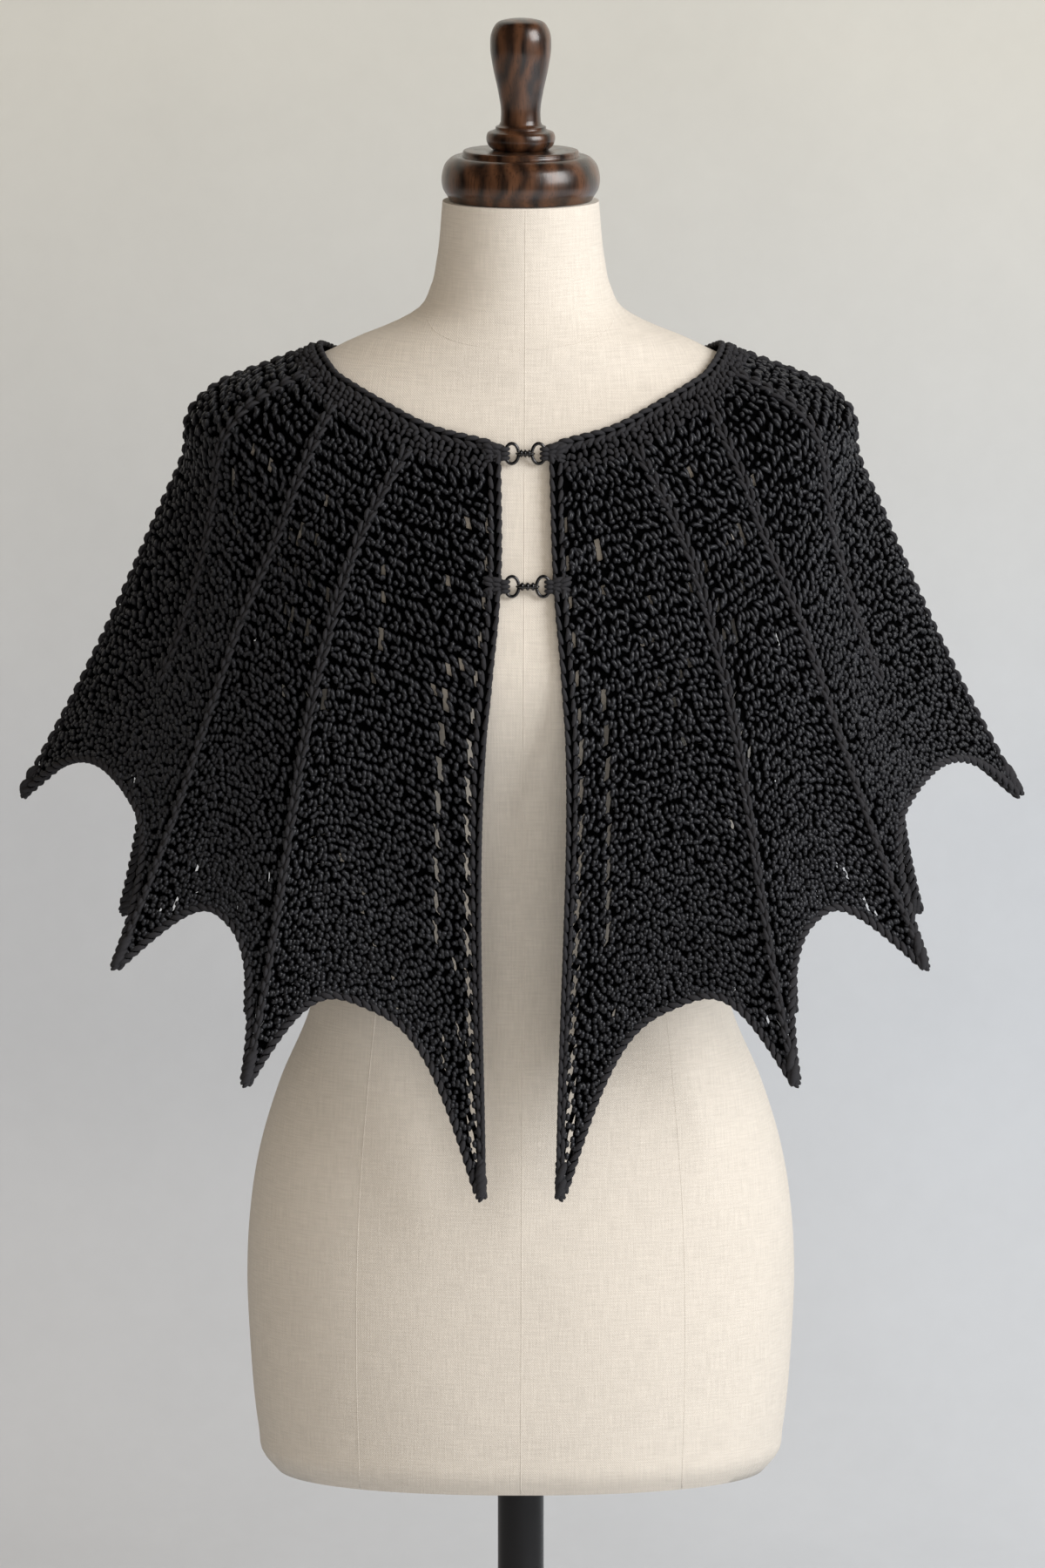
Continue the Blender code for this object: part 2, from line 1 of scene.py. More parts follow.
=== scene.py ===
"""Looks of the crochet capelet on its dress form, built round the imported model.

Metres, +Z up, front towards -Y. The capelet is the surface cape(u, v): u counts
its ribs from the front edge (0) round to the centre back (8), v runs from the
neckline (0) to the scalloped hem (1), and the left side mirrors the right, but
for the front opening's small shift to +X. Every stitch is a strand: a closed
lobe laid on that surface.
"""

import math

import bpy
import numpy as np
from bpy.props import FloatProperty, FloatVectorProperty, PointerProperty
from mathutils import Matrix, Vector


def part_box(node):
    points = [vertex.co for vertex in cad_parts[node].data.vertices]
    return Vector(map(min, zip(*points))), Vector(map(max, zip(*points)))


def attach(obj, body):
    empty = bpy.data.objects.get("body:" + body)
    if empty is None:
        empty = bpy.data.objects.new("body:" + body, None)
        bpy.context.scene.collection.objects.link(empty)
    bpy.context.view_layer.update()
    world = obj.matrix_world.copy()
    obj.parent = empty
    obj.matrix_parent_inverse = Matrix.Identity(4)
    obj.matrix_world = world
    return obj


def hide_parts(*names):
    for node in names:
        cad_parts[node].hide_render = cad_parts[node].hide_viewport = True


bl_info = {
    "name": "Crochet capelet on a dress form",
    "version": (1, 0, 0),
    "blender": (4, 5, 0),
    "location": "3D View > Sidebar > Capelet",
    "description": "Cloth, stitches, dress form and studio round the packed model",
    "category": "Object",
}

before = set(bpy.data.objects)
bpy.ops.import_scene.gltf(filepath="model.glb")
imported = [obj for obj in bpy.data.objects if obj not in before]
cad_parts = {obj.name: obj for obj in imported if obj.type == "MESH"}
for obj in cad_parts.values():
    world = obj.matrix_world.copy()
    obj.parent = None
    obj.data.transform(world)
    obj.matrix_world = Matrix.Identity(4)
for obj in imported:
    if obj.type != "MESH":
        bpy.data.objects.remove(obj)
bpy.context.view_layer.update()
ROOT = "root"
SIDES = ((1, "right"), (-1, "left"))

# Dress form. Columns: height, half width, front depth, back depth, squareness.
FORM_SECTIONS = np.array(
    [
        (0.280, 0.146, 0.104, 0.112, 2.2),
        (0.290, 0.1545, 0.110, 0.118, 2.2),
        (0.304, 0.157, 0.112, 0.121, 2.2),
        (0.360, 0.1623, 0.115, 0.126, 2.2),
        (0.400, 0.1638, 0.115, 0.128, 2.2),
        (0.430, 0.1625, 0.114, 0.126, 2.2),
        (0.472, 0.1565, 0.110, 0.116, 2.2),
        (0.514, 0.144, 0.103, 0.101, 2.2),
        (0.556, 0.1265, 0.0945, 0.086, 2.2),
        (0.600, 0.1185, 0.0895, 0.078, 2.2),
        (0.650, 0.124, 0.095, 0.083, 2.2),
        (0.700, 0.1345, 0.107, 0.092, 2.2),
        (0.740, 0.143, 0.122, 0.099, 2.2),
        (0.775, 0.149, 0.130, 0.104, 2.2),
        (0.810, 0.157, 0.124, 0.107, 2.2),
        (0.840, 0.168, 0.111, 0.108, 2.2),
        (0.870, 0.181, 0.098, 0.107, 2.2),
        (0.897, 0.192, 0.086, 0.102, 2.1),
        (0.9175, 0.189, 0.078, 0.095, 1.9),
        (0.931, 0.170, 0.072, 0.089, 1.7),
        (0.9395, 0.147, 0.068, 0.085, 1.65),
        (0.952, 0.117, 0.065, 0.080, 1.7),
        (0.961, 0.098, 0.062, 0.075, 1.8),
        (0.9685, 0.0785, 0.059, 0.070, 1.9),
        (0.976, 0.064, 0.056, 0.064, 2.0),
        (0.992, 0.0535, 0.0515, 0.055, 2.0),
        (1.008, 0.050, 0.049, 0.050, 2.0),
        (1.043, 0.0465, 0.0465, 0.0465, 2.0),
    ]
)
FORM_BOTTOM = FORM_SECTIONS[0, 0]
FORM_TOP = FORM_SECTIONS[-1, 0]

# Capelet cloth
FORM_CLEARANCE = 0.0045
LIFT_SOFTNESS = 0.004
SAG = 0.006
HOLLOW = 0.0045
HOLLOW_START = 0.4
NECKBAND_END = 0.042
NECKBAND_ROWS = (0.0155, 0.0245, 0.0335, 0.042)
BAND_WIDTH = 0.007

# The front opening hangs a little to +X: how far at most and at what height,
# and how soon that fades to each side and up and down.
OPENING_SHIFT = 0.0045
OPENING_SHIFT_HEIGHT = 0.80
OPENING_SHIFT_WIDE = 0.06
OPENING_SHIFT_TALL = 0.15

# Neckline seen from above: half width, front depth, back depth, squareness.
NECKLINE = (0.118, 0.0825, 0.085, 2.2)

# Ribs, front edge to centre back. Columns: place on the neckline in degrees
# from the front, then the points at a fifth, two fifths and all of its length.
RIBS = (
    (8.7, (0.0222, -0.118, 0.825), (0.0294, -0.136, 0.742), (0.0242, -0.149, 0.471)),
    (27.5, (0.096, -0.100, 0.851), (0.120, -0.118, 0.772), (0.162, -0.150, 0.537)),
    (57.3, (0.133, -0.070, 0.873), (0.1645, -0.084, 0.803), (0.239, -0.112, 0.601)),
    (72.4, (0.170, -0.036, 0.904), (0.1885, -0.050, 0.837), (0.2825, -0.068, 0.638)),
    (90.0, (0.178, 0.0, 0.924), (0.2085, 0.0, 0.869), (0.2965, 0.0, 0.688)),
    (107.6, (0.170, 0.040, 0.904), (0.1885, 0.056, 0.837), (0.2825, 0.070, 0.638)),
    (122.7, (0.133, 0.085, 0.873), (0.1645, 0.092, 0.803), (0.239, 0.112, 0.601)),
    (152.5, (0.096, 0.103, 0.851), (0.120, 0.115, 0.772), (0.164, 0.145, 0.534)),
    (180.0, (0.0, 0.113, 0.860), (0.0, 0.121, 0.775), (0.0, 0.148, 0.510)),
)
RIB_STATIONS = (0.0, 0.2, 0.4, 1.0)
CENTRE_BACK = len(RIBS) - 1
ARCH_ONSET = 1.5

# Gores. Columns: name, first rib, last rib, depth of the hem's arch, where it
# peaks, its fullness, rows of stitches.
GORES = (
    ("front", 0, 1, 0.18, 1.08, 3.0, 18),
    ("front_side", 1, 2, 0.187, 0.72, 2.5, 16),
    ("shoulder_front", 2, 4, 0.213, 0.66, 2.9, 15),
    ("shoulder_back", 4, 6, 0.213, 1.40, 2.9, 15),
    ("back_side", 6, 7, 0.187, 1.30, 2.5, 16),
    ("back", 7, 8, 0.17, 1.0, 2.5, 17),
)
MIDDLE_RIB_END = 0.72

# Openings of the front gore's two ladders: share of the gore's width, half of
# the opening's width as a share, first and last row.
LADDERS = ((0.0325, 0.0182, 1, 17), (0.20, 0.024, 6, 13))

# Stitches lean to the viewer's right on both sides: how much of that is taken
# from the cloth's fall, how far a V's two legs and an opening lean, and how far
# the legs beside an opening bend in at its middle, in degrees.
FALL_SHARE = 0.65
LEG_LEANS = (29.0, 13.0)
GAP_LEAN = 17.0
WAIST_LEAN = 13.0


# The surface of the capelet


def stacked(*values):
    """Arrays and numbers brought to one shape, side by side on a new last axis."""
    return np.stack(np.broadcast_arrays(*values), axis=-1)


def hermite(x, knots, values):
    """Smooth curve through values at uneven knots, slopes from neighbours."""
    knots = np.asarray(knots, float)
    values = np.asarray(values, float)
    slopes = np.gradient(values, knots, axis=0)
    x = np.clip(x, knots[0], knots[-1])
    i = np.clip(np.searchsorted(knots, x) - 1, 0, len(knots) - 2)
    width = (knots[i + 1] - knots[i])[..., None]
    s = (x - knots[i])[..., None] / width
    return (
        (2 * s**3 - 3 * s**2 + 1) * values[i]
        + (s**3 - 2 * s**2 + s) * width * slopes[i]
        + (3 * s**2 - 2 * s**3) * values[i + 1]
        + (s**3 - s**2) * width * slopes[i + 1]
    )


def form_section(z):
    return np.moveaxis(hermite(z, FORM_SECTIONS[:, 0], FORM_SECTIONS[:, 1:]), -1, 0)


def form_level(points):
    """Below zero inside the dress form, zero on it, above zero outside."""
    half_width, front, back, squareness = form_section(points[..., 2])
    depth = np.where(points[..., 1] < 0, front, back)
    across = np.abs(points[..., 0] / half_width) ** squareness
    deep = np.abs(points[..., 1] / depth) ** squareness
    return (across + deep) ** (1 / squareness) - 1


def form_distance(points):
    """Distance from the form's surface, and the direction away from it."""
    step = 0.0005
    slope = np.stack(
        [form_level(points + step * axis) - form_level(points - step * axis) for axis in np.eye(3)],
        axis=-1,
    ) / (2 * step)
    steepness = np.linalg.norm(slope, axis=-1)
    return form_level(points) / steepness, slope / steepness[..., None]


def height_on_form(x, y):
    """Height of the form's shoulder surface over plan points, by halving."""
    low = np.full(np.shape(x), 0.80)
    high = np.full(np.shape(x), 1.00)
    for _ in range(30):
        middle = (low + high) / 2
        inside = form_level(stacked(x, y, middle)) < 0
        low = np.where(inside, middle, low)
        high = np.where(inside, high, middle)
    return (low + high) / 2


def neckline_point(degrees):
    """Superellipse of the neckline seen from above, laid on the form."""
    half_width, front, back, squareness = NECKLINE
    sine = math.sin(math.radians(degrees))
    cosine = math.cos(math.radians(degrees))
    x = half_width * abs(sine) ** (2 / squareness)
    depth = front if cosine > 0 else back
    y = -math.copysign(depth * abs(cosine) ** (2 / squareness), cosine)
    return (x, y, float(height_on_form(np.array(x), np.array(y))))


RIB_POINTS = np.array([(neckline_point(degrees), *points) for degrees, *points in RIBS])


def between_ribs(u, share):
    """Point at share of the length, smooth round the top and straight at the hem."""
    ribs = np.stack([hermite(share, RIB_STATIONS, points) for points in RIB_POINTS])
    before = 2 * ribs[:1] - ribs[1:2]
    after = ribs[-2:-1] * np.array([-1, 1, 1])
    ribs = np.concatenate([before, ribs, after])
    i = np.clip(np.floor(u).astype(int), 0, CENTRE_BACK - 1)
    s = (u - i)[..., None]
    picked = []
    for offset in range(4):
        index = np.broadcast_to((i + offset)[None, ..., None], (1, *u.shape, 3))
        picked.append(np.take_along_axis(ribs, index, axis=0)[0])
    p0, p1, p2, p3 = picked
    round_way = 0.5 * (
        2 * p1 + (p2 - p0) * s + (2 * p0 - 5 * p1 + 4 * p2 - p3) * s**2 + (3 * p1 - p0 - 3 * p2 + p3) * s**3
    )
    straight_way = p1 + (p2 - p1) * s
    straightness = 0.5 * np.clip((share - 0.3) / 0.7, 0, 1)[..., None]
    return round_way * (1 - straightness) + straight_way * straightness


def place_in_gore(u):
    """Share of the gore's width at u, and how far down the hem reaches there."""
    across = np.zeros_like(u)
    reach = np.ones_like(u)
    for _, first, last, depth, peak, fullness, _ in GORES:
        inside = (u >= first) & (u <= last)
        share = np.clip((u - first) / (last - first), 0, 1)
        arch = 1 - depth * (1 - np.abs(2 * share**peak - 1) ** fullness)
        across = np.where(inside, share, across)
        reach = np.where(inside, arch, reach)
    return across, reach


def cape(u, v):
    """Middle of the capelet's cloth: the ribs' spline, sagging between the hem's
    points and pushed out to keep clear of the dress form."""
    u, v = np.broadcast_arrays(np.asarray(u, float), np.asarray(v, float))
    past_back = u > CENTRE_BACK
    u = np.clip(np.where(past_back, 2 * CENTRE_BACK - u, u), 0, CENTRE_BACK)
    across, reach = place_in_gore(u)
    share = v * (1 - (1 - reach) * v**ARCH_ONSET)
    points = between_ribs(u, share)
    outward = points[..., :2] / np.linalg.norm(points[..., :2], axis=-1, keepdims=True)
    hollow = HOLLOW * np.sin(np.pi * np.clip((share - HOLLOW_START) / (1 - HOLLOW_START), 0, 1))
    points[..., :2] -= outward * (SAG * np.sin(np.pi * across) * share**2 + hollow)[..., None]
    distance, away = form_distance(points)
    apart = np.sqrt((distance - FORM_CLEARANCE) ** 2 + LIFT_SOFTNESS**2)
    lifted = (distance + FORM_CLEARANCE + apart) / 2
    points = points + away * np.where(distance < 0.05, lifted - distance, 0)[..., None]
    distance, away = form_distance(points)
    points = points + away * np.clip(FORM_CLEARANCE - distance, 0, None)[..., None]
    return points * np.where(past_back[..., None], np.array([-1, 1, 1]), 1)


def unit(vectors):
    return vectors / np.linalg.norm(vectors, axis=-1, keepdims=True)


def opening_shift(points):
    """How far the front opening is carried to +X at these points."""
    x, y, z = np.moveaxis(points, -1, 0)
    fade = (x / OPENING_SHIFT_WIDE) ** 2 + ((z - OPENING_SHIFT_HEIGHT) / OPENING_SHIFT_TALL) ** 2
    return OPENING_SHIFT * np.exp(-fade) * (y < 0)


def cape_frame(u, v, side=1):
    """Point, unit tangent round the body, unit tangent down, unit normal out."""
    step = 0.02
    u, v = np.broadcast_arrays(np.asarray(u, float), np.asarray(v, float))
    points = cape(u, v)
    along = unit(cape(u + step, v) - cape(np.clip(u - step, 0, None), v))
    down = unit(cape(u, np.clip(v + step, 0, 1)) - cape(u, np.clip(v - step, 0, 1)))
    normal = unit(np.cross(down, along))
    mirror = np.array([side, 1, 1])
    points = points * mirror
    points[..., 0] += opening_shift(points)
    return points, along * mirror, down * mirror, normal * mirror


def lean_towards_x(along, down, normal, degrees):
    """Angle from down towards along of a stitch that leans by degrees to the
    viewer's right of the cloth's fall. The fall is mostly the steepest way down
    the cloth, (0, 0, -1) laid on it, and partly the way the ribs run."""
    steepest = normal * normal[..., 2:] - np.array([0.0, 0.0, 1.0])
    fall = unit(FALL_SHARE * steepest + (1 - FALL_SHARE) * down)
    axis = fall * np.cos(np.radians(degrees)) + np.cross(normal, fall) * np.sin(np.radians(degrees))
    return np.arctan2(np.sum(axis * along, axis=-1), np.sum(axis * down, axis=-1))


def length_between(u, v):
    """Running length in metres along a line of points on the cloth."""
    points = cape(u, v)
    steps = np.linalg.norm(np.diff(points, axis=0), axis=-1)
    return np.concatenate([[0.0], np.cumsum(steps)])


def spaced(start, end, pitch, line):
    """Places from start to end about pitch metres apart along line(places)."""
    places = np.linspace(start, end, 200)
    run = line(places)
    count = max(2, round(run[-1] / pitch))
    marks = (np.arange(count) + 0.5) / count * run[-1]
    return np.interp(marks, run, places)


def down_rib(u, start, end, pitch):
    return spaced(start, end, pitch, lambda v: length_between(np.full_like(v, u), v))


def round_row(v, start, end, pitch):
    return spaced(start, end, pitch, lambda u: length_between(u, np.full_like(u, v)))


# Meshes


def mesh_object(name, points, faces, mat, ply=None, rise=None, corner_uv=None):
    """Object from an array of points and a list of arrays of faces. ply and rise
    are what the yarn's material reads at each point."""
    points = np.asarray(points, np.float32).reshape(-1, 3)
    faces = [np.asarray(block, np.int32) for block in faces if len(block)]
    corners = np.concatenate([block.ravel() for block in faces])
    sizes = np.concatenate([np.full(len(block), block.shape[1]) for block in faces])
    mesh = bpy.data.meshes.new(name)
    mesh.vertices.add(len(points))
    mesh.vertices.foreach_set("co", points.ravel())
    mesh.loops.add(len(corners))
    mesh.loops.foreach_set("vertex_index", corners)
    mesh.polygons.add(len(sizes))
    starts = np.concatenate([[0], np.cumsum(sizes)[:-1]]).astype(np.int32)
    mesh.polygons.foreach_set("loop_start", starts)
    mesh.update(calc_edges=True)
    mesh.polygons.foreach_set("use_smooth", np.ones(len(sizes), bool))
    if ply is not None:
        layer = mesh.attributes.new("ply", "FLOAT_VECTOR", "POINT")
        layer.data.foreach_set("vector", np.asarray(ply, np.float32).ravel())
        layer = mesh.attributes.new("rise", "FLOAT", "POINT")
        layer.data.foreach_set("value", np.asarray(rise, np.float32).ravel())
    if corner_uv is not None:
        layer = mesh.uv_layers.new(name="UVMap")
        layer.data.foreach_set("uv", np.asarray(corner_uv, np.float32).ravel())
    mesh.update()
    obj = bpy.data.objects.new(name, mesh)
    obj.data.materials.append(mat)
    bpy.context.scene.collection.objects.link(obj)
    return obj


def round_faces(rings, sides, closed=False, flipped=False):
    """Quads between rings of points, and a fan at each end round a middle point that
    comes after the rings. A closed run of rings has no ends."""
    ring = np.arange(rings if closed else rings - 1)[:, None] * sides
    ring_after = (ring + sides) % (rings * sides)
    here = np.arange(sides)
    after = (here + 1) % sides
    quads = stacked(ring + here, ring + after, ring_after + after, ring_after + here).reshape(-1, 4)
    end = (rings - 1) * sides
    first = stacked(rings * sides, after, here)
    last = stacked(rings * sides + 1, end + here, end + after)
    if flipped:
        quads = quads[:, [0, 3, 2, 1]]
        first = first[:, [0, 2, 1]]
        last = last[:, [0, 2, 1]]
    return [quads] if closed else [quads, first, last]


def strand_shape(rings, sides):
    """Unit strand along its first axis: place -cos(t) and radius sin(t)**0.8 for
    t from 0 to pi, closed by a pole at each end."""
    t = np.pi * np.arange(1, rings + 1) / (rings + 1)
    turn = 2 * np.pi * np.arange(sides) / sides
    place = np.concatenate([np.repeat(-np.cos(t), sides), [-1.0, 1.0]])
    radius = np.concatenate([np.repeat(np.sin(t) ** 0.8, sides), [0.0, 0.0]])
    turn = np.concatenate([np.tile(turn, rings), [0.0, 0.0]])
    quads, *caps = round_faces(rings, sides)
    return place, radius, turn, quads, np.concatenate(caps)


# How fast the yarn's plies turn along a strand, in radians a metre, and how much
# of its rise out of the cloth a strand has lost at its ends.
TWIST_PER_METRE = 2 * math.pi / 0.0058
RISE_LOST = 0.35


class Strands:
    """Strands gathered for one joined mesh."""

    def __init__(self):
        self.blocks = []

    def add(self, points, axis, normal, length, width, thickness, dive=0.0, bow=0.0, rings=3, sides=6):
        """Each strand runs length along its axis, is width across in the cloth and
        thickness through it; its ends sink by dive and its middle swings by bow."""
        axis = unit(axis)
        across = unit(np.cross(normal, axis))
        normal = unit(np.cross(axis, across))
        place, radius, turn, quads, caps = strand_shape(rings, sides)
        length, width, thickness, dive, bow = (
            np.broadcast_to(np.asarray(value, float), (len(points),))[:, None]
            for value in (length, width, thickness, dive, bow)
        )
        onwards = place * length / 2
        sideways = radius * np.cos(turn) * width / 2 + bow * (1 - place**2)
        through = radius * np.sin(turn) * thickness / 2 - dive * place**2
        grid = (
            points[:, None]
            + axis[:, None] * onwards[..., None]
            + across[:, None] * sideways[..., None]
            + normal[:, None] * through[..., None]
        )
        ply = stacked(onwards * TWIST_PER_METRE, np.cos(2 * turn), np.sin(2 * turn))
        rise = np.broadcast_to(radius * np.sin(turn) - RISE_LOST * place**2, onwards.shape)
        self.blocks.append((grid, ply, rise, quads, caps))

    def build(self, name, mat):
        """Joins the strands: each block's faces are shifted by its first point."""
        points, plies, rises, faces, start = [], [], [], [], 0
        for grid, ply, rise, quads, caps in self.blocks:
            count, size = grid.shape[:2]
            shift = (start + np.arange(count) * size)[:, None, None]
            faces.append((quads[None] + shift).reshape(-1, 4))
            faces.append((caps[None] + shift).reshape(-1, 3))
            points.append(grid.reshape(-1, 3))
            plies.append(ply.reshape(-1, 3))
            rises.append(rise.ravel())
            start += count * size
        return mesh_object(
            name, np.concatenate(points), faces, mat, ply=np.concatenate(plies), rise=np.concatenate(rises)
        )


def tube(path, radius, sides=8, closed=False):
    """Points and faces of a round tube carried along a path, its cross-section
    square to the path and held by one reference direction all the way."""
    path = np.asarray(path, float)
    count = len(path)
    if closed:
        run = np.roll(path, -1, axis=0) - np.roll(path, 1, axis=0)
    else:
        run = np.gradient(path, axis=0)
    run = unit(run)
    reference = np.array([0.0, 0.0, 1.0]) if abs(run[:, 2]).mean() < 0.8 else np.array([0.0, 1.0, 0.0])
    across = unit(np.cross(run, reference))
    over = np.cross(across, run)
    turn = 2 * np.pi * np.arange(sides) / sides
    radius = np.broadcast_to(np.asarray(radius, float), (count,))
    grid = path[:, None] + radius[:, None, None] * (
        across[:, None] * np.cos(turn)[:, None] + over[:, None] * np.sin(turn)[:, None]
    )
    ends = [] if closed else [path[:1], path[-1:]]
    return np.concatenate([grid.reshape(-1, 3), *ends]), round_faces(count, sides, closed, flipped=True)


def joined(parts):
    """One list of points and faces from several."""
    points, faces, start = [], [], 0
    for part_points, part_faces in parts:
        points.append(part_points)
        faces += [block + start for block in part_faces]
        start += len(part_points)
    return np.concatenate(points), faces


def lathe(name, segments, lift, mat, sides=96):
    """Surface of revolution. Each segment is a run of (radius, height) points made
    smooth by hermite(); the corners between segments stay crisp."""
    outline = []
    for segment in segments:
        knots = np.asarray(segment, float)
        run = np.concatenate([[0], np.cumsum(np.linalg.norm(np.diff(knots, axis=0), axis=1))])
        steps = 2 if len(knots) == 2 else 6 * (len(knots) - 1) + 1
        fine = hermite(np.linspace(0, run[-1], steps), run, knots)
        outline.append(fine if not outline else fine[1:])
    outline = np.concatenate(outline)
    turn = 2 * np.pi * np.arange(sides) / sides
    radius, height = outline[:, :1], outline[:, 1:] + lift
    grid = stacked(radius * np.cos(turn), radius * np.sin(turn), height)
    poles = stacked(0, 0, height[[0, -1], 0])
    faces = round_faces(len(outline), sides, flipped=True)
    obj = mesh_object(name, np.concatenate([grid.reshape(-1, 3), poles]), faces, mat)
    keep_corners(obj, 38)
    return obj


def keep_corners(obj, degrees):
    """Smooth faces with edges left crisp where they meet more sharply than degrees."""
    obj.data.set_sharp_from_angle(angle=math.radians(degrees))


def add_to_root(obj, slot, *nodes):
    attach(obj, ROOT)
    if nodes:
        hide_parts(*nodes)
    return obj


# Materials


def group(name, inputs, outputs):
    """Empty node group with float, colour or vector sockets."""
    tree = bpy.data.node_groups.new(name, "ShaderNodeTree")
    for socket, kind, value in inputs:
        made = tree.interface.new_socket(socket, in_out="INPUT", socket_type="NodeSocket" + kind)
        if value is not None:
            made.default_value = value
    for socket, kind in outputs:
        tree.interface.new_socket(socket, in_out="OUTPUT", socket_type="NodeSocket" + kind)
    return tree, tree.nodes.new("NodeGroupInput"), tree.nodes.new("NodeGroupOutput")


def feed(tree, socket, value):
    """Sets a socket to a number or a colour, or links another socket to it."""
    if isinstance(value, (int, float)):
        socket.default_value = value
    elif isinstance(value, tuple):
        socket.default_value = (*value, 1.0)
    else:
        tree.links.new(value, socket)


def feed_all(tree, node, **values):
    """Feeds a node's sockets by name, with an underscore for each space."""
    for name, value in values.items():
        feed(tree, node.inputs[name.replace("_", " ")], value)


def maths(tree, operation, first, second=None, third=None):
    """A Math node; plain numbers are set on its sockets and sockets are linked."""
    node = tree.nodes.new("ShaderNodeMath")
    node.operation = operation
    for socket, value in zip(node.inputs, (first, second, third)):
        if value is not None:
            feed(tree, socket, value)
    return node.outputs[0]


def blended(tree, share, first, second, mode="MIX"):
    """A colour Mix node from first to second by share."""
    node = tree.nodes.new("ShaderNodeMix")
    node.data_type = "RGBA"
    node.blend_type = mode
    for index, value in ((0, share), (6, first), (7, second)):
        feed(tree, node.inputs[index], value)
    return node.outputs[2]


def noise(tree, vector, scale, detail=3.0, roughness=0.55, stretch=None):
    """Noise of scale per metre, its coordinates stretched first when asked."""
    if stretch is not None:
        mapping = tree.nodes.new("ShaderNodeMapping")
        mapping.inputs["Scale"].default_value = stretch
        tree.links.new(vector, mapping.inputs["Vector"])
        vector = mapping.outputs[0]
    node = tree.nodes.new("ShaderNodeTexNoise")
    feed_all(tree, node, Scale=scale, Detail=detail, Roughness=roughness, Vector=vector)
    return node.outputs["Fac"]


def spread(tree, value, low, high, to_low=0.0, to_high=1.0):
    """A Map Range node, clamped."""
    node = tree.nodes.new("ShaderNodeMapRange")
    feed_all(tree, node, Value=value, From_Min=low, From_Max=high, To_Min=to_low, To_Max=to_high)
    return node.outputs["Result"]


def principled(name, **sockets):
    """A material with a Principled BSDF whose plain sockets are set by name."""
    mat = bpy.data.materials.new(name)
    mat.use_nodes = True
    shader = mat.node_tree.nodes["Principled BSDF"]
    feed_all(mat.node_tree, shader, **sockets)
    return mat, mat.node_tree, shader


def use_group(tree, made, **values):
    node = tree.nodes.new("ShaderNodeGroup")
    node.node_tree = made
    feed_all(tree, node, **values)
    return node


def bump(tree, height, shader, distance, strength=1.0):
    node = tree.nodes.new("ShaderNodeBump")
    feed_all(tree, node, Distance=distance, Strength=strength, Height=height)
    tree.links.new(node.outputs[0], shader.inputs["Normal"])


def object_coordinates(tree):
    return tree.nodes.new("ShaderNodeTexCoord").outputs["Object"]


def yarn_group():
    """Twisted yarn: two plies turning round the strand, loose fibres, faint fading.

    The ply attribute holds the twist along the strand and the cosine and sine of
    twice the angle round it, so height = sin(twist + twice the angle). The rise
    attribute is -1 where a strand sinks into the cloth and 1 on its crest, which
    is glossier. The colour runs from Colour, a painted shade low on the strand and
    in the plies' grooves, to Lighter, a painted highlight on the ply ridges of the
    crest; fibres and clouds add random tone."""
    tree, inputs, outputs = group(
        "Twisted yarn",
        [
            ("Colour", "Color", (0.02, 0.02, 0.02, 1.0)),
            ("Lighter", "Color", (0.05, 0.05, 0.05, 1.0)),
            ("Ply depth", "Float", 1.0),
            ("Coordinates", "Vector", None),
        ],
        [("Colour", "Color"), ("Roughness", "Float"), ("Gloss", "Float"), ("Height", "Float")],
    )
    attribute = tree.nodes.new("ShaderNodeAttribute")
    attribute.attribute_name = "ply"
    rise = tree.nodes.new("ShaderNodeAttribute")
    rise.attribute_name = "rise"
    # crest sets the painted shade low on the strand and the painted highlight on its top, and the gloss there.
    crest = maths(tree, "POWER", spread(tree, rise.outputs["Fac"], -0.3, 0.8), 1.5)
    parts = tree.nodes.new("ShaderNodeSeparateXYZ")
    tree.links.new(attribute.outputs["Vector"], parts.inputs[0])
    sine = maths(tree, "MULTIPLY", maths(tree, "SINE", parts.outputs[0]), parts.outputs[1])
    cosine = maths(tree, "MULTIPLY", maths(tree, "COSINE", parts.outputs[0]), parts.outputs[2])
    wave = maths(tree, "ADD", sine, cosine)
    ply = maths(tree, "MULTIPLY_ADD", wave, 0.5, 0.5)
    ply = maths(tree, "MULTIPLY", ply, inputs.outputs["Ply depth"])
    fibre = noise(tree, inputs.outputs["Coordinates"], 2600.0, 2.0)
    cloud = noise(tree, inputs.outputs["Coordinates"], 55.0, 2.0)
    # Painted light: lighter on the ply ridges and, through crest, on the strands' tops; fibre and cloud add
    # random tone.
    tone_and_painted_light = maths(tree, "MULTIPLY_ADD", ply, 0.85, maths(tree, "MULTIPLY_ADD", fibre, 0.5, -0.08))
    tone_and_painted_light = maths(tree, "ADD", tone_and_painted_light, maths(tree, "MULTIPLY_ADD", cloud, 0.5, -0.25))
    tone_and_painted_light = maths(tree, "MULTIPLY", tone_and_painted_light, crest)
    feed_all(
        tree,
        outputs,
        Colour=blended(tree, tone_and_painted_light, inputs.outputs["Colour"], inputs.outputs["Lighter"]),
        Roughness=spread(tree, fibre, 0.3, 0.7, 0.5, 0.72),
        Gloss=maths(tree, "MULTIPLY", crest, spread(tree, fibre, 0.35, 0.65, 0.2, 1.0)),
        Height=maths(tree, "MULTIPLY_ADD", fibre, 0.4, ply),
    )
    return tree


def shared_yarn_group():
    return bpy.data.node_groups.get("Twisted yarn") or yarn_group()


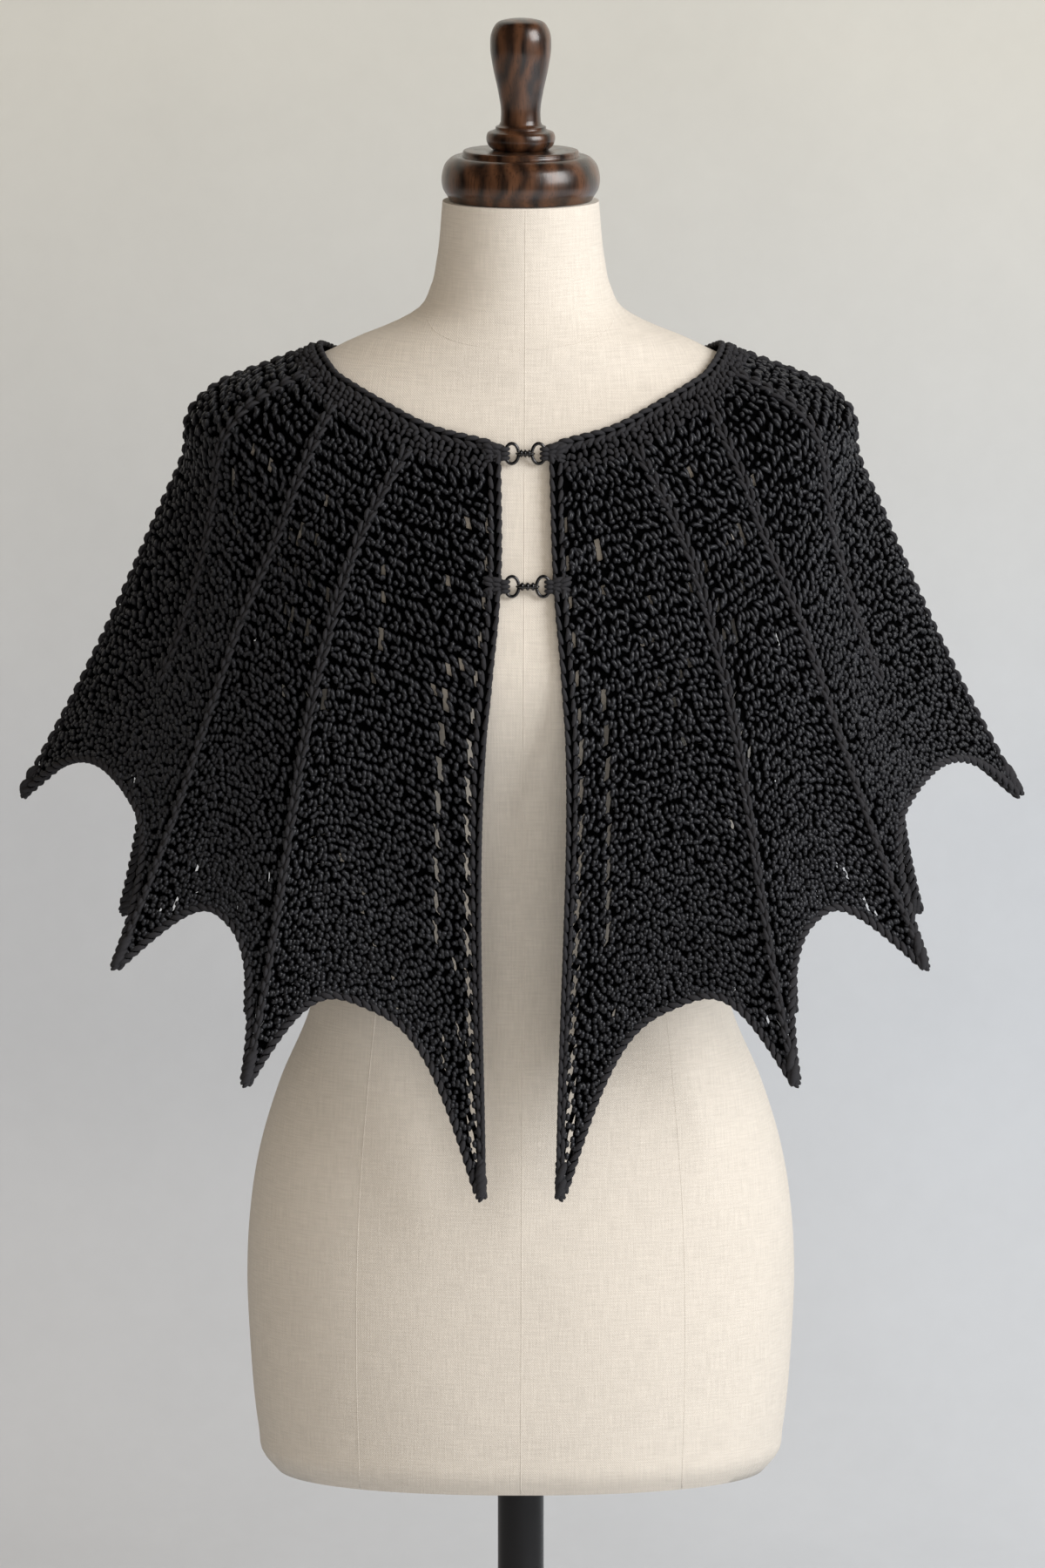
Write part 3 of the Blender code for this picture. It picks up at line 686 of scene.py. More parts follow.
def yarn_material(name, settings, ply_depth, shade=1.0):
    """Yarn, glossy on its crests where it has plies and dull where it has none.
    A shade below 1 darkens its colours, sheen and specular: painted shade for
    cloth that shows only in the shadowed gaps.
    """
    mat, tree, shader = principled(
        name, IOR=1.45, Sheen_Weight=settings.sheen * shade, Sheen_Roughness=0.4,
        Specular_IOR_Level=0.08 * shade, Coat_Roughness=0.34, Sheen_Tint=(0.62, 0.66, 0.80),
    )
    node = use_group(
        tree,
        shared_yarn_group(),
        Colour=tuple(channel * shade for channel in settings.colour),
        Lighter=tuple(channel * shade for channel in settings.lighter),
        Ply_depth=ply_depth,
        Coordinates=object_coordinates(tree),
    )
    feed_all(tree, shader, Base_Color=node.outputs["Colour"], Roughness=node.outputs["Roughness"])
    if ply_depth:
        feed_all(tree, shader, Coat_Weight=node.outputs["Gloss"])
    bump(tree, node.outputs["Height"], shader, 0.0010)
    return mat


def weave_group():
    """Plain weave: warp and weft as fine noise stretched each way over coordinates in
    metres, with thicker slubs and a faint overall mottling."""
    tree, inputs, outputs = group(
        "Plain weave",
        [("Threads per metre", "Float", 1500.0), ("Coordinates", "Vector", None)],
        [("Shade", "Float"), ("Height", "Float")],
    )
    place = tree.nodes.new("ShaderNodeSeparateXYZ")
    tree.links.new(inputs.outputs["Coordinates"], place.inputs[0])
    wander = noise(tree, inputs.outputs["Coordinates"], 130.0, 2.0)
    waves = []
    for axis in (0, 1):
        at = maths(tree, "MULTIPLY", place.outputs[axis], inputs.outputs["Threads per metre"])
        at = maths(tree, "MULTIPLY_ADD", wander, 2.5, at)
        waves.append(maths(tree, "SINE", maths(tree, "MULTIPLY", at, math.pi)))
    over = maths(tree, "MULTIPLY", waves[0], waves[1])
    warp = noise(tree, inputs.outputs["Coordinates"], 1.0, 3.0, 0.6, stretch=(1150.0, 60.0, 60.0))
    weft = noise(tree, inputs.outputs["Coordinates"], 1.0, 3.0, 0.6, stretch=(60.0, 1150.0, 60.0))
    cloud = noise(tree, inputs.outputs["Coordinates"], 14.0, 3.0)
    threads = maths(tree, "ADD", warp, weft)
    shade = maths(tree, "MULTIPLY_ADD", threads, 0.75, maths(tree, "MULTIPLY", over, 0.06))
    shade = maths(tree, "MULTIPLY_ADD", cloud, 0.25, shade)
    height = maths(tree, "MULTIPLY_ADD", over, 0.35, threads)
    feed_all(tree, outputs, Shade=spread(tree, shade, 0.62, 1.12), Height=height)
    return tree


def linen_material(settings):
    """Linen, woven over the UV map, which is in metres."""
    mat, tree, shader = principled(
        "linen", Roughness=0.88, Sheen_Weight=0.12, Sheen_Roughness=0.5, Specular_IOR_Level=0.25
    )
    uv = tree.nodes.new("ShaderNodeTexCoord").outputs["UV"]
    node = use_group(tree, weave_group(), Threads_per_metre=1500.0, Coordinates=uv)
    darker = tuple(channel * 0.80 for channel in settings.linen)
    feed_all(tree, shader, Base_Color=blended(tree, node.outputs["Shade"], darker, tuple(settings.linen)))
    bump(tree, node.outputs["Height"], shader, 0.00025, 0.7)
    return mat


def wood_group():
    """Turned dark wood: rings wound round the axis, long pores along it."""
    tree, inputs, outputs = group(
        "Turned wood grain",
        [("Dark", "Color", (0.02, 0.01, 0.006, 1.0)), ("Light", "Color", (0.09, 0.04, 0.02, 1.0)),
         ("Coordinates", "Vector", None)],
        [("Colour", "Color"), ("Roughness", "Float"), ("Height", "Float")],
    )
    grain = noise(tree, inputs.outputs["Coordinates"], 1.0, 4.0, 0.6, stretch=(170.0, 120.0, 16.0))
    pores = noise(tree, inputs.outputs["Coordinates"], 1.0, 3.0, 0.6, stretch=(900.0, 900.0, 60.0))
    bands = tree.nodes.new("ShaderNodeTexWave")
    bands.bands_direction = "X"
    for name, number in (("Scale", 24.0), ("Distortion", 9.0), ("Detail", 2.0), ("Detail Scale", 1.2)):
        bands.inputs[name].default_value = number
    tree.links.new(inputs.outputs["Coordinates"], bands.inputs["Vector"])
    mixed = maths(tree, "MULTIPLY_ADD", bands.outputs["Fac"], 0.45, maths(tree, "MULTIPLY", grain, 0.75))
    mixed = spread(tree, mixed, 0.30, 0.88)
    colour = blended(tree, mixed, inputs.outputs["Dark"], inputs.outputs["Light"])
    dark_pores = spread(tree, pores, 0.36, 0.46, 0.55, 1.0)
    colour = blended(tree, 1.0, colour, dark_pores, "MULTIPLY")
    feed_all(tree, outputs, Colour=colour, Roughness=spread(tree, grain, 0.3, 0.7, 0.26, 0.40), Height=pores)
    return tree


def wood_material(settings):
    mat, tree, shader = principled(
        "dark_wood", Coat_Weight=0.5, Coat_Roughness=0.20, Specular_IOR_Level=0.5
    )
    node = use_group(
        tree,
        wood_group(),
        Dark=tuple(settings.wood_dark),
        Light=tuple(settings.wood_light),
        Coordinates=object_coordinates(tree),
    )
    feed_all(tree, shader, Base_Color=node.outputs["Colour"], Roughness=node.outputs["Roughness"])
    bump(tree, node.outputs["Height"], shader, 0.0002, 0.5)
    return mat


def metal_material(name, colour, metallic, roughness_low, roughness_high, scale):
    """Paint or plated metal: roughness clouded by noise of scale per metre."""
    mat, tree, shader = principled(name, Metallic=metallic, Specular_IOR_Level=0.3)
    cloud = noise(tree, object_coordinates(tree), scale, 4.0)
    darker = tuple(channel * 0.8 for channel in colour)
    tone = blended(tree, spread(tree, cloud, 0.3, 0.7), darker, colour)
    roughness = spread(tree, cloud, 0.3, 0.7, roughness_low, roughness_high)
    feed_all(tree, shader, Base_Color=tone, Roughness=roughness)
    bump(tree, noise(tree, object_coordinates(tree), scale * 14, 2.0), shader, 0.00005, 0.4)
    return mat


def wall_material(settings):
    """Pale plaster with painted light and shade: lighter towards the window side,
    darker and cooler lower down, darkest at the lower left. It is clear from
    behind, so a view from there still shows the object."""
    mat, tree, shader = principled("plaster", Roughness=0.9, Specular_IOR_Level=0.2)
    coordinates = object_coordinates(tree)
    place = tree.nodes.new("ShaderNodeSeparateXYZ")
    tree.links.new(coordinates, place.inputs[0])
    # Painted light and shade: the low wall goes from darker at the left to cooler at the right, and the upper
    # wall is lighter and warmer.
    sideways = spread(tree, place.outputs[0], -0.30, 0.30)
    low = blended(tree, sideways, tuple(settings.wall_low), tuple(settings.wall_low_right))
    height = spread(tree, place.outputs[2], 0.50, 1.0)
    tone = blended(tree, height, low, tuple(settings.wall_high))
    cloud = noise(tree, coordinates, 5.0, 5.0, 0.55)
    fine = noise(tree, coordinates, 60.0, 4.0, 0.6)
    mottled = maths(tree, "MULTIPLY_ADD", fine, 0.35, cloud)
    tone = blended(tree, 1.0, tone, spread(tree, mottled, 0.35, 1.0, 0.95, 1.04), "MULTIPLY")
    tree.links.new(tone, shader.inputs["Base Color"])
    clear = tree.nodes.new("ShaderNodeBsdfTransparent")
    facing = tree.nodes.new("ShaderNodeNewGeometry")
    pick = tree.nodes.new("ShaderNodeMixShader")
    tree.links.new(facing.outputs["Backfacing"], pick.inputs[0])
    tree.links.new(shader.outputs[0], pick.inputs[1])
    tree.links.new(clear.outputs[0], pick.inputs[2])
    tree.links.new(pick.outputs[0], tree.nodes["Material Output"].inputs["Surface"])
    return mat


# Properties


def length_setting(name, description, default):
    return FloatProperty(name=name, description=description, default=default, unit="LENGTH")


def colour_setting(name, description, *default):
    return FloatVectorProperty(name=name, description=description, default=default, size=3, subtype="COLOR")


class YarnSettings(bpy.types.PropertyGroup):
    pitch: length_setting("Stitch pitch", "Width of one V of the stitches", 0.0071)
    bead_pitch: length_setting("Bead pitch", "Width of one tight stitch", 0.0041)
    strand: length_setting("Strand width", "Thickness of the yarn", 0.0031)
    sheen: FloatProperty(name="Sheen", description="Soft shine of the fibres", default=0.05, min=0.0, max=1.0)
    # Colour is the yarn darkened as painted shade in its hollows; Lighter colour is a painted highlight on its
    # crests.
    colour: colour_setting("Colour", "Yarn in its hollows", 0.0022, 0.0022, 0.0026)
    lighter: colour_setting("Lighter colour", "Yarn where it catches the light", 0.052, 0.055, 0.066)


class FormSettings(bpy.types.PropertyGroup):
    linen: colour_setting("Linen", "Colour of the form's cover", 0.745, 0.70, 0.635)
    wood_dark: colour_setting("Dark grain", "Darkest grain of the wood", 0.012, 0.006, 0.004)
    wood_light: colour_setting("Light grain", "Lightest grain of the wood", 0.100, 0.042, 0.019)
    seam: length_setting("Seam", "Width of the cover's raised seams", 0.0009)


class StageSettings(bpy.types.PropertyGroup):
    # The wall's colours paint light and shade: lighter and warmer high up, darker to the lower left, cooler to
    # the lower right.
    wall_high: colour_setting("Wall", "Wall behind the form's top", 0.685, 0.69, 0.655)
    wall_low: colour_setting("Wall, low", "Wall to the left of the form's foot", 0.585, 0.61, 0.645)
    wall_low_right: colour_setting("Wall, low right", "Wall to the right of the form's foot", 0.645, 0.69, 0.75)
    key: FloatProperty(name="Key light", description="Power of the main light in watts", default=119.0)
    fill: FloatProperty(name="Fill light", description="Power of the second light in watts", default=32.0)
    distance: length_setting("Camera distance", "From the camera to the form", 12.0)


# The capelet


# Faces of the thin cloth under the stitches, below the middle of the whole.
SHELL_IN, SHELL_OUT = -0.0014, -0.0009
# Share of a row's height that its V's take. Tight stitches take the rest.
V_SHARE = 0.66
# Gaps between V's: half width, most that a gap's ends are shifted by its lean, and
# for each kind its top and bottom as shares of the V's height and its relative width.
GAP_HALF = 0.0021
GAP_SHIFT = 0.0014
GAP_KINDS = {1: (0.08, 0.52, 0.95), 2: (0.50, 0.94, 0.95), 3: (0.05, 0.97, 1.1)}
# Gaps of the ladder beside the front band, small in its first rows: top, bottom and
# relative width. Where the V's of the front gore start, as a share of its width.
SMALL_GAP_ROWS = 7
SMALL_GAP, TALL_GAP = (0.24, 0.84, 0.7), (0.04, 0.98, 1.0)
V_START = 0.0545
# Start of the front band below the neckline, and the wall under its plait.
BAND_START = 0.008
BAND_WALL_WIDTH, BAND_WALL = 0.0058, 0.0016


def stitch_rows(rows):
    """Top of each row of stitches, down from the neckband, and the hem."""
    return np.linspace(NECKBAND_END, 1, rows + 1)


def gore_width(first, last, v):
    return length_between(np.linspace(first, last, 60), np.full(60, v))[-1]


def column_edges(gore, width, pitch):
    """Shares of the gore's width where one V of a row ends and the next begins."""
    if gore != "front":
        count = max(2, round(width / pitch))
        return np.linspace(0, 1, count + 1)
    middle = LADDERS[1][0]
    near = max(1, round((middle - V_START) * width / pitch))
    far = max(1, round((1 - middle) * width / pitch))
    return np.concatenate([np.linspace(V_START, middle, near + 1)[:-1], np.linspace(middle, 1, far + 1)])


def row_gaps(gore, row, rows, edges, random):
    """Openings at the edges between the V's of one row: for each edge, none (0),
    its upper half (1), its lower half (2) or the whole height (3)."""
    gaps = np.zeros(len(edges), int)
    middle = (edges > 0.04) & (edges < 0.96)
    down = row / rows
    chance = {"front": 0.06, "front_side": 0.09}.get(gore, 0.15)
    chance += 0.18 * (down > 0.45) * (gore in ("shoulder_front", "shoulder_back"))
    chance += 0.12 * (down > 0.62) * (gore in ("front_side", "back_side"))
    chance += 0.14 * (abs(down - 0.22) < 0.14)
    draw = random.random(len(edges))
    gaps[middle & (draw < chance)] = 1
    gaps[middle & (draw < chance * 0.5)] = 2
    gaps[middle & (draw < chance * 0.12)] = 3
    if row == 0:
        gaps[:] = 0
    if gore == "front":
        place, _, low, high = LADDERS[1]
        if low <= row <= high:
            gaps[np.argmin(np.abs(edges - place))] = 3
    elif len(edges) > 4 and row % 2 and row >= 2:
        gaps[np.argmin(np.abs(edges - (0.19 if row % 4 == 1 else 0.81)))] = 3
    gaps[0] = gaps[-1] = 0
    return gaps


def gore_layout(gore, first, last, rows, settings, seed):
    """For every row: top, end of its V's, bottom, edges of its V's, its gaps."""
    random = np.random.default_rng(seed)
    tops = stitch_rows(rows)
    layout = []
    for row in range(rows):
        top, bottom = tops[row], tops[row + 1]
        middle = top + (bottom - top) * V_SHARE
        width = gore_width(first, last, (top + middle) / 2)
        edges = column_edges(gore, width, settings.pitch)
        gaps = row_gaps(gore, row, rows, edges, random)
        layout.append((row, top, middle, bottom, width, edges, gaps))
    return layout


def wall_cells(u, v, holes, side):
    """Thin wall over one band of cells. u has the cells' edges, v the band's top
    and bottom, and holes maps a cell to (u low, u high, v low, v high)."""
    count = len(u)
    points, _, _, normal = cape_frame(np.tile(u, 2), np.repeat(v, count), side)
    inner = points + normal * SHELL_IN
    outer = points + normal * SHELL_OUT
    blocks = [inner, outer]
    size = 2 * count
    cell = np.arange(count - 1)
    quad = stacked(cell, cell + 1, count + cell + 1, count + cell)
    solid = np.ones(count - 1, bool)
    faces = []
    if holes:
        cells = np.array(sorted(holes))
        solid[cells] = False
        ends = np.array([holes[index] for index in cells])
        hole_v = ends[:, [2, 2, 3, 3]]
        centre, along, down, out = cape_frame(ends[:, :2].mean(axis=1), ends[:, 2:].mean(axis=1), side)
        low, _, _, _ = cape_frame(ends[:, :2].mean(axis=1), ends[:, 3], side)
        per_metre = (ends[:, 1] - ends[:, 0]) / (2 * GAP_HALF)
        lean = np.tan(lean_towards_x(along, down, out, GAP_LEAN)) * np.linalg.norm(low - centre, axis=-1)
        shift = np.clip(lean, -GAP_SHIFT, GAP_SHIFT) * per_metre
        hole_u = ends[:, [0, 1, 1, 0]] + shift[:, None] * np.array([-1, -1, 1, 1])
        hole, _, _, out = cape_frame(hole_u, hole_v, side)
        blocks += [(hole + out * SHELL_IN).reshape(-1, 3), (hole + out * SHELL_OUT).reshape(-1, 3)]
        near = 2 * size + np.arange(4 * len(cells)).reshape(-1, 4)
        far = near + 4 * len(cells)
        rim = quad[cells]
        for a, b in ((0, 1), (1, 2), (2, 3), (3, 0)):
            faces.append(stacked(rim[:, a], rim[:, b], near[:, b], near[:, a]))
            faces.append(stacked(size + rim[:, b], size + rim[:, a], far[:, a], far[:, b]))
            faces.append(stacked(near[:, a], near[:, b], far[:, b], far[:, a]))
    faces.append(quad[solid])
    faces.append(size + quad[solid][:, ::-1])
    bottom = count + cell
    faces.append(stacked(cell + 1, cell, size + cell, size + cell + 1))
    faces.append(stacked(bottom, bottom + 1, size + bottom + 1, size + bottom))
    faces.append(np.array([[0, count, size + count, size]]))
    faces.append(np.array([[2 * count - 1, count - 1, size + count - 1, size + 2 * count - 1]]))
    if side < 0:
        faces = [block[:, ::-1] for block in faces]
    return np.concatenate(blocks), faces


def gore_cloth(gore, first, last, rows, settings, side, seed):
    """The gore's thin cloth, in bands: one under the V's with the gaps between
    them cut through, and one under the tight stitches below them."""
    parts = []
    span = last - first
    for row, top, middle, bottom, width, edges, gaps in gore_layout(gore, first, last, rows, settings, seed):
        centres = (edges[1:] + edges[:-1]) / 2
        places = np.concatenate([[0.0], centres, [1.0]])
        half = min(GAP_HALF / width, 0.22 / len(edges))
        marked = np.flatnonzero(gaps).tolist()
        gaps_here = {index: (edges[index], half, GAP_KINDS[int(gaps[index])]) for index in marked}
        if gore == "front":
            place, wide, first_row, last_row = LADDERS[0]
            places = np.concatenate([[0.0], [place + wide + 0.008], centres, [1.0]])
            gaps_here = {index + 1: gap for index, gap in gaps_here.items()}
            if first_row <= row <= last_row:
                gaps_here[0] = (place, wide, SMALL_GAP if row < SMALL_GAP_ROWS else TALL_GAP)
        holes = {}
        for index, (place, wide, (low, high, relative)) in gaps_here.items():
            holes[index] = (
                first + span * (place - wide * relative),
                first + span * (place + wide * relative),
                top + (middle - top) * low,
                top + (middle - top) * high,
            )
        parts.append(wall_cells(first + span * places, (top, middle), holes, side))
        plain = np.linspace(first, last, len(edges))
        parts.append(wall_cells(plain, (middle, bottom), {}, side))
    return parts


def edge_cloth(side):
    """Thin cloth of the neckband and the front band."""
    parts = []
    u = np.linspace(0, CENTRE_BACK, 97)
    for v in ((0.0, 0.018), (0.018, NECKBAND_END)):
        parts.append(wall_cells(u, v, {}, side))
    v = np.linspace(BAND_START, 1, 80)
    near, along, _, normal = cape_frame(np.zeros_like(v), v, side)
    far = near - along * BAND_WALL_WIDTH
    half = normal * BAND_WALL / 2
    grid = np.stack([near - half, far - half, far + half, near + half], axis=1)
    end = 4 * (len(v) - 1)
    faces = [round_faces(len(v), 4)[0], np.array([[3, 2, 1, 0], [end, end + 1, end + 2, end + 3]])]
    if side < 0:
        faces = [block[:, ::-1] for block in faces]
    parts.append((grid.reshape(-1, 3), faces))
    return parts


# The V's: the heights of their two tiers as shares of the row's, the place of each
# leg as a share of the V's width, how far the first leg hangs lower, and how far a
# gap and a ladder push a leg aside.
LEG_TIERS = (0.27, 0.75)
LEG_PLACES = (-0.23, 0.22)
LEG_DROP = 0.0005
GAP_PUSH, LADDER_PUSH = 0.0004, 0.0006
# The two rows of tight stitches: height as a share, shift across, lean in degrees.
BEAD_TIERS = ((0.24, -0.0009, 14), (0.74, 0.0009, 36))
# Length of a leg as a share of the V's, and of a tight stitch as a share and more.
LEG_LENGTH = 1.05
BEAD_SHARE, BEAD_LENGTH = 0.28, 0.0028
# Spread by hand: place across and down in metres, lean in degrees, length, width.
LEG_SPREAD = (0.0005, 0.0009, 20, 0.13, 0.08)
BEAD_SPREAD = (0.0007, 0.0009, 38, 0.0008, 0.12)
# How far strands stand out of the cloth and how far their ends sink into it.
LEG_LIFT, LEG_DIVE = 0.0008, 0.0012
BEAD_LIFT, BEAD_DIVE = 0.0009, 0.0007
LIFT_SPREAD = 0.0005


def stitch_strands(gore, first, last, rows, settings, side, seed):
    """The gore's stitches. Each row has two tiers of V's, both legs leaning as they
    are worked, above two rows of tight round stitches."""
    strands = Strands()
    random = np.random.default_rng(seed + 500)
    span = last - first
    legs, beads = [], []
    for row, top, middle, bottom, width, edges, gaps in gore_layout(gore, first, last, rows, settings, seed):
        centres = (edges[1:] + edges[:-1]) / 2
        count = len(centres)
        pitch = np.diff(edges) * width
        rise = 0.5 * length_between(np.full(2, first + span * 0.5), np.array([top, middle]))[-1]
        waists = (-WAIST_LEAN * side, WAIST_LEAN * side)
        tiers = [(top + (middle - top) * share, waist) for share, waist in zip(LEG_TIERS, waists)]
        across, down, leaning, longer, wider = LEG_SPREAD
        for tier, (v, waist) in enumerate(tiers):
            for leg, place in enumerate(LEG_PLACES):
                sign = 1 - 2 * leg
                gap = gaps[leg : leg + count]
                straight = (gap == 3).astype(float)
                push = sign * np.isin(gap, (3, 1 + tier)) * (GAP_PUSH + LADDER_PUSH * straight)
                dx = place * pitch + push + random.normal(0, across, count) * (1 - straight)
                dy = random.normal(0, down, count) + sign * LEG_DROP
                lean = LEG_LEANS[leg if side > 0 else 1 - leg]
                angle = (lean + random.normal(0, leaning, count)) * (1 - straight)
                angle += (GAP_LEAN + sign * waist + random.normal(0, 3, count)) * straight
                length = rise * random.normal(LEG_LENGTH, longer, count)
                thick = settings.strand * random.normal(1.0, wider, count)
                legs.append(stacked(first + span * centres, v, dx, dy, angle, length, thick))
        place, wide, first_row, last_row = LADDERS[0]
        if gore == "front" and first_row <= row <= last_row:
            for v, waist in tiers:
                way = np.array([-1.0, 1.0])
                dx = way * max(0.0026, wide * width + 0.0012)
                angle = GAP_LEAN + waist * way
                legs.append(stacked(first + span * place, v, dx, 0.0, angle, rise * 1.2, settings.strand))
        count = max(3, round(width / settings.bead_pitch))
        u = first + span * (np.arange(count) + 0.5) / count
        across, down, leaning, longer, wider = BEAD_SPREAD
        for share, shift, lean in BEAD_TIERS:
            dx = random.normal(0, across, count) + shift
            dy = random.normal(0, down, count)
            angle = random.normal(lean, leaning, count)
            length = rise * BEAD_SHARE + random.normal(BEAD_LENGTH, longer, count)
            thick = settings.strand * random.normal(1.0, wider, count)
            beads.append(stacked(u, middle + (bottom - middle) * share, dx, dy, angle, length, thick))
    for rows_of, lift, dive in ((legs, LEG_LIFT, LEG_DIVE), (beads, BEAD_LIFT, BEAD_DIVE)):
        u, v, dx, dy, degrees, length, thick = np.concatenate(rows_of).T
        points, along, down, normal = cape_frame(u, v, side)
        angle = lean_towards_x(along, down, normal, degrees[:, None])
        axis = down * np.cos(angle)[:, None] + along * np.sin(angle)[:, None]
        lift = random.normal(lift, LIFT_SPREAD, len(u))
        points = points + along * dx[:, None] + down * dy[:, None] + normal * lift[:, None]
        strands.add(points, axis, normal, length, thick, thick * 0.98, dive=dive, rings=2)
    return strands


# Plaited chains: width, thickness, length and lean of their strands, how far they
# stand out of the cloth, how far they swing outwards and how far their ends sink.
RIB_PLAIT = (0.0062, 0.0027, 0.0102, 15, 0.0024, 0.0004, 0.0024)
NECK_PLAIT = (0.0072, 0.0034, 0.0100, 15, 0.0009, 0.0003, 0.0018)
BAND_PLAIT = (0.0082, 0.0030, 0.0104, 12, 0.0010, 0.0006, 0.0018)
BAND_UNDER_PLAIT = (0.0070, 0.0030, 0.0104, 10, -0.0007, 0.0004, 0.0012)
# Distance from one pair of strands to the next along ribs and bands, and round the
# neck; of the neckband's lobes; and of the hem's strands.
PLAIT_PITCH = 0.0084
NECK_PITCH = 0.0068
LOBE_PITCH = 0.0040
HEM_PITCH = 0.0062


def chain(strands, points, along, run, normal, plait):
    """Plaited chain: at each place a pair of strands either side of the line, both
    leaning in towards it like a V and swinging outwards by bow."""
    width, strand, length, lean, lift, bow, dive = plait
    outwards = np.sign(np.sum(np.cross(normal, run) * along, axis=-1))
    for way in (-1, 1):
        angle = np.radians(lean) * way
        axis = run * np.cos(angle) - along * np.sin(angle)
        at = points + along * (way * width / 4) + normal * lift
        swing = bow * way * outwards
        strands.add(at, axis, normal, length, strand, strand, dive=dive, bow=swing, rings=4, sides=7)


class CAPELET_OT_cloth(bpy.types.Operator):
    """Thin cloth of the capelet, cut through where the stitches leave gaps"""

    bl_idname = "capelet.cloth"
    bl_label = "Cloth"

    def execute(self, context):
        settings = context.scene.capelet_yarn
        parts = []
        nodes = []
        for side, word in SIDES:
            for index, (gore, first, last, *_, rows) in enumerate(GORES):
                parts += gore_cloth(gore, first, last, rows, settings, side, 10 * index + side + 2)
                nodes.append(f"gore_{gore}_{word}")
            parts += edge_cloth(side)
            nodes += [f"neckband_{word}", f"front_band_{word}"]
        # The thin cloth gets the yarn darkened to 0.15: painted shade, as it shows only in the shadowed gaps
        # between the stitches.
        mat = yarn_material("yarn_painted_shade", settings, 0.0, 0.15)
        cloth = mesh_object("capelet_cloth", *joined(parts), mat)
        keep_corners(cloth, 40)
        add_to_root(cloth, "yarn", *nodes)
        return {"FINISHED"}


class CAPELET_OT_stitches(bpy.types.Operator):
    """Every V and every tight round stitch, one piece for each gore"""

    bl_idname = "capelet.stitches"
    bl_label = "Stitches"

    def execute(self, context):
        settings = context.scene.capelet_yarn
        mat = yarn_material("yarn", settings, 1.0)
        for side, word in SIDES:
            for index, (gore, first, last, *_, rows) in enumerate(GORES):
                strands = stitch_strands(gore, first, last, rows, settings, side, 10 * index + side + 2)
                obj = strands.build(f"stitches_{gore}_{word}", mat)
                add_to_root(obj, "yarn")
        return {"FINISHED"}


class CAPELET_OT_ribs(bpy.types.Operator):
    """Raised plaited ribs down to the points of the hem"""

    bl_idname = "capelet.ribs"
    bl_label = "Ribs"

    def execute(self, context):
        mat = bpy.data.materials["yarn"]
        for side, word in SIDES:
            strands = Strands()
            for rib in range(1, CENTRE_BACK + (side > 0)):
                end = MIDDLE_RIB_END if rib in (3, 5) else 1.0
                v = down_rib(rib, NECKBAND_END, end, PLAIT_PITCH)
                points, along, down, normal = cape_frame(np.full_like(v, rib), v, side)
                chain(strands, points, along, down, normal, RIB_PLAIT)
                strands.add(points - down * 0.002, down, normal, 0.0096, 0.0036, 0.0030, dive=0.0010)
            add_to_root(strands.build(f"ribs_{word}", mat), "yarn")
        return {"FINISHED"}


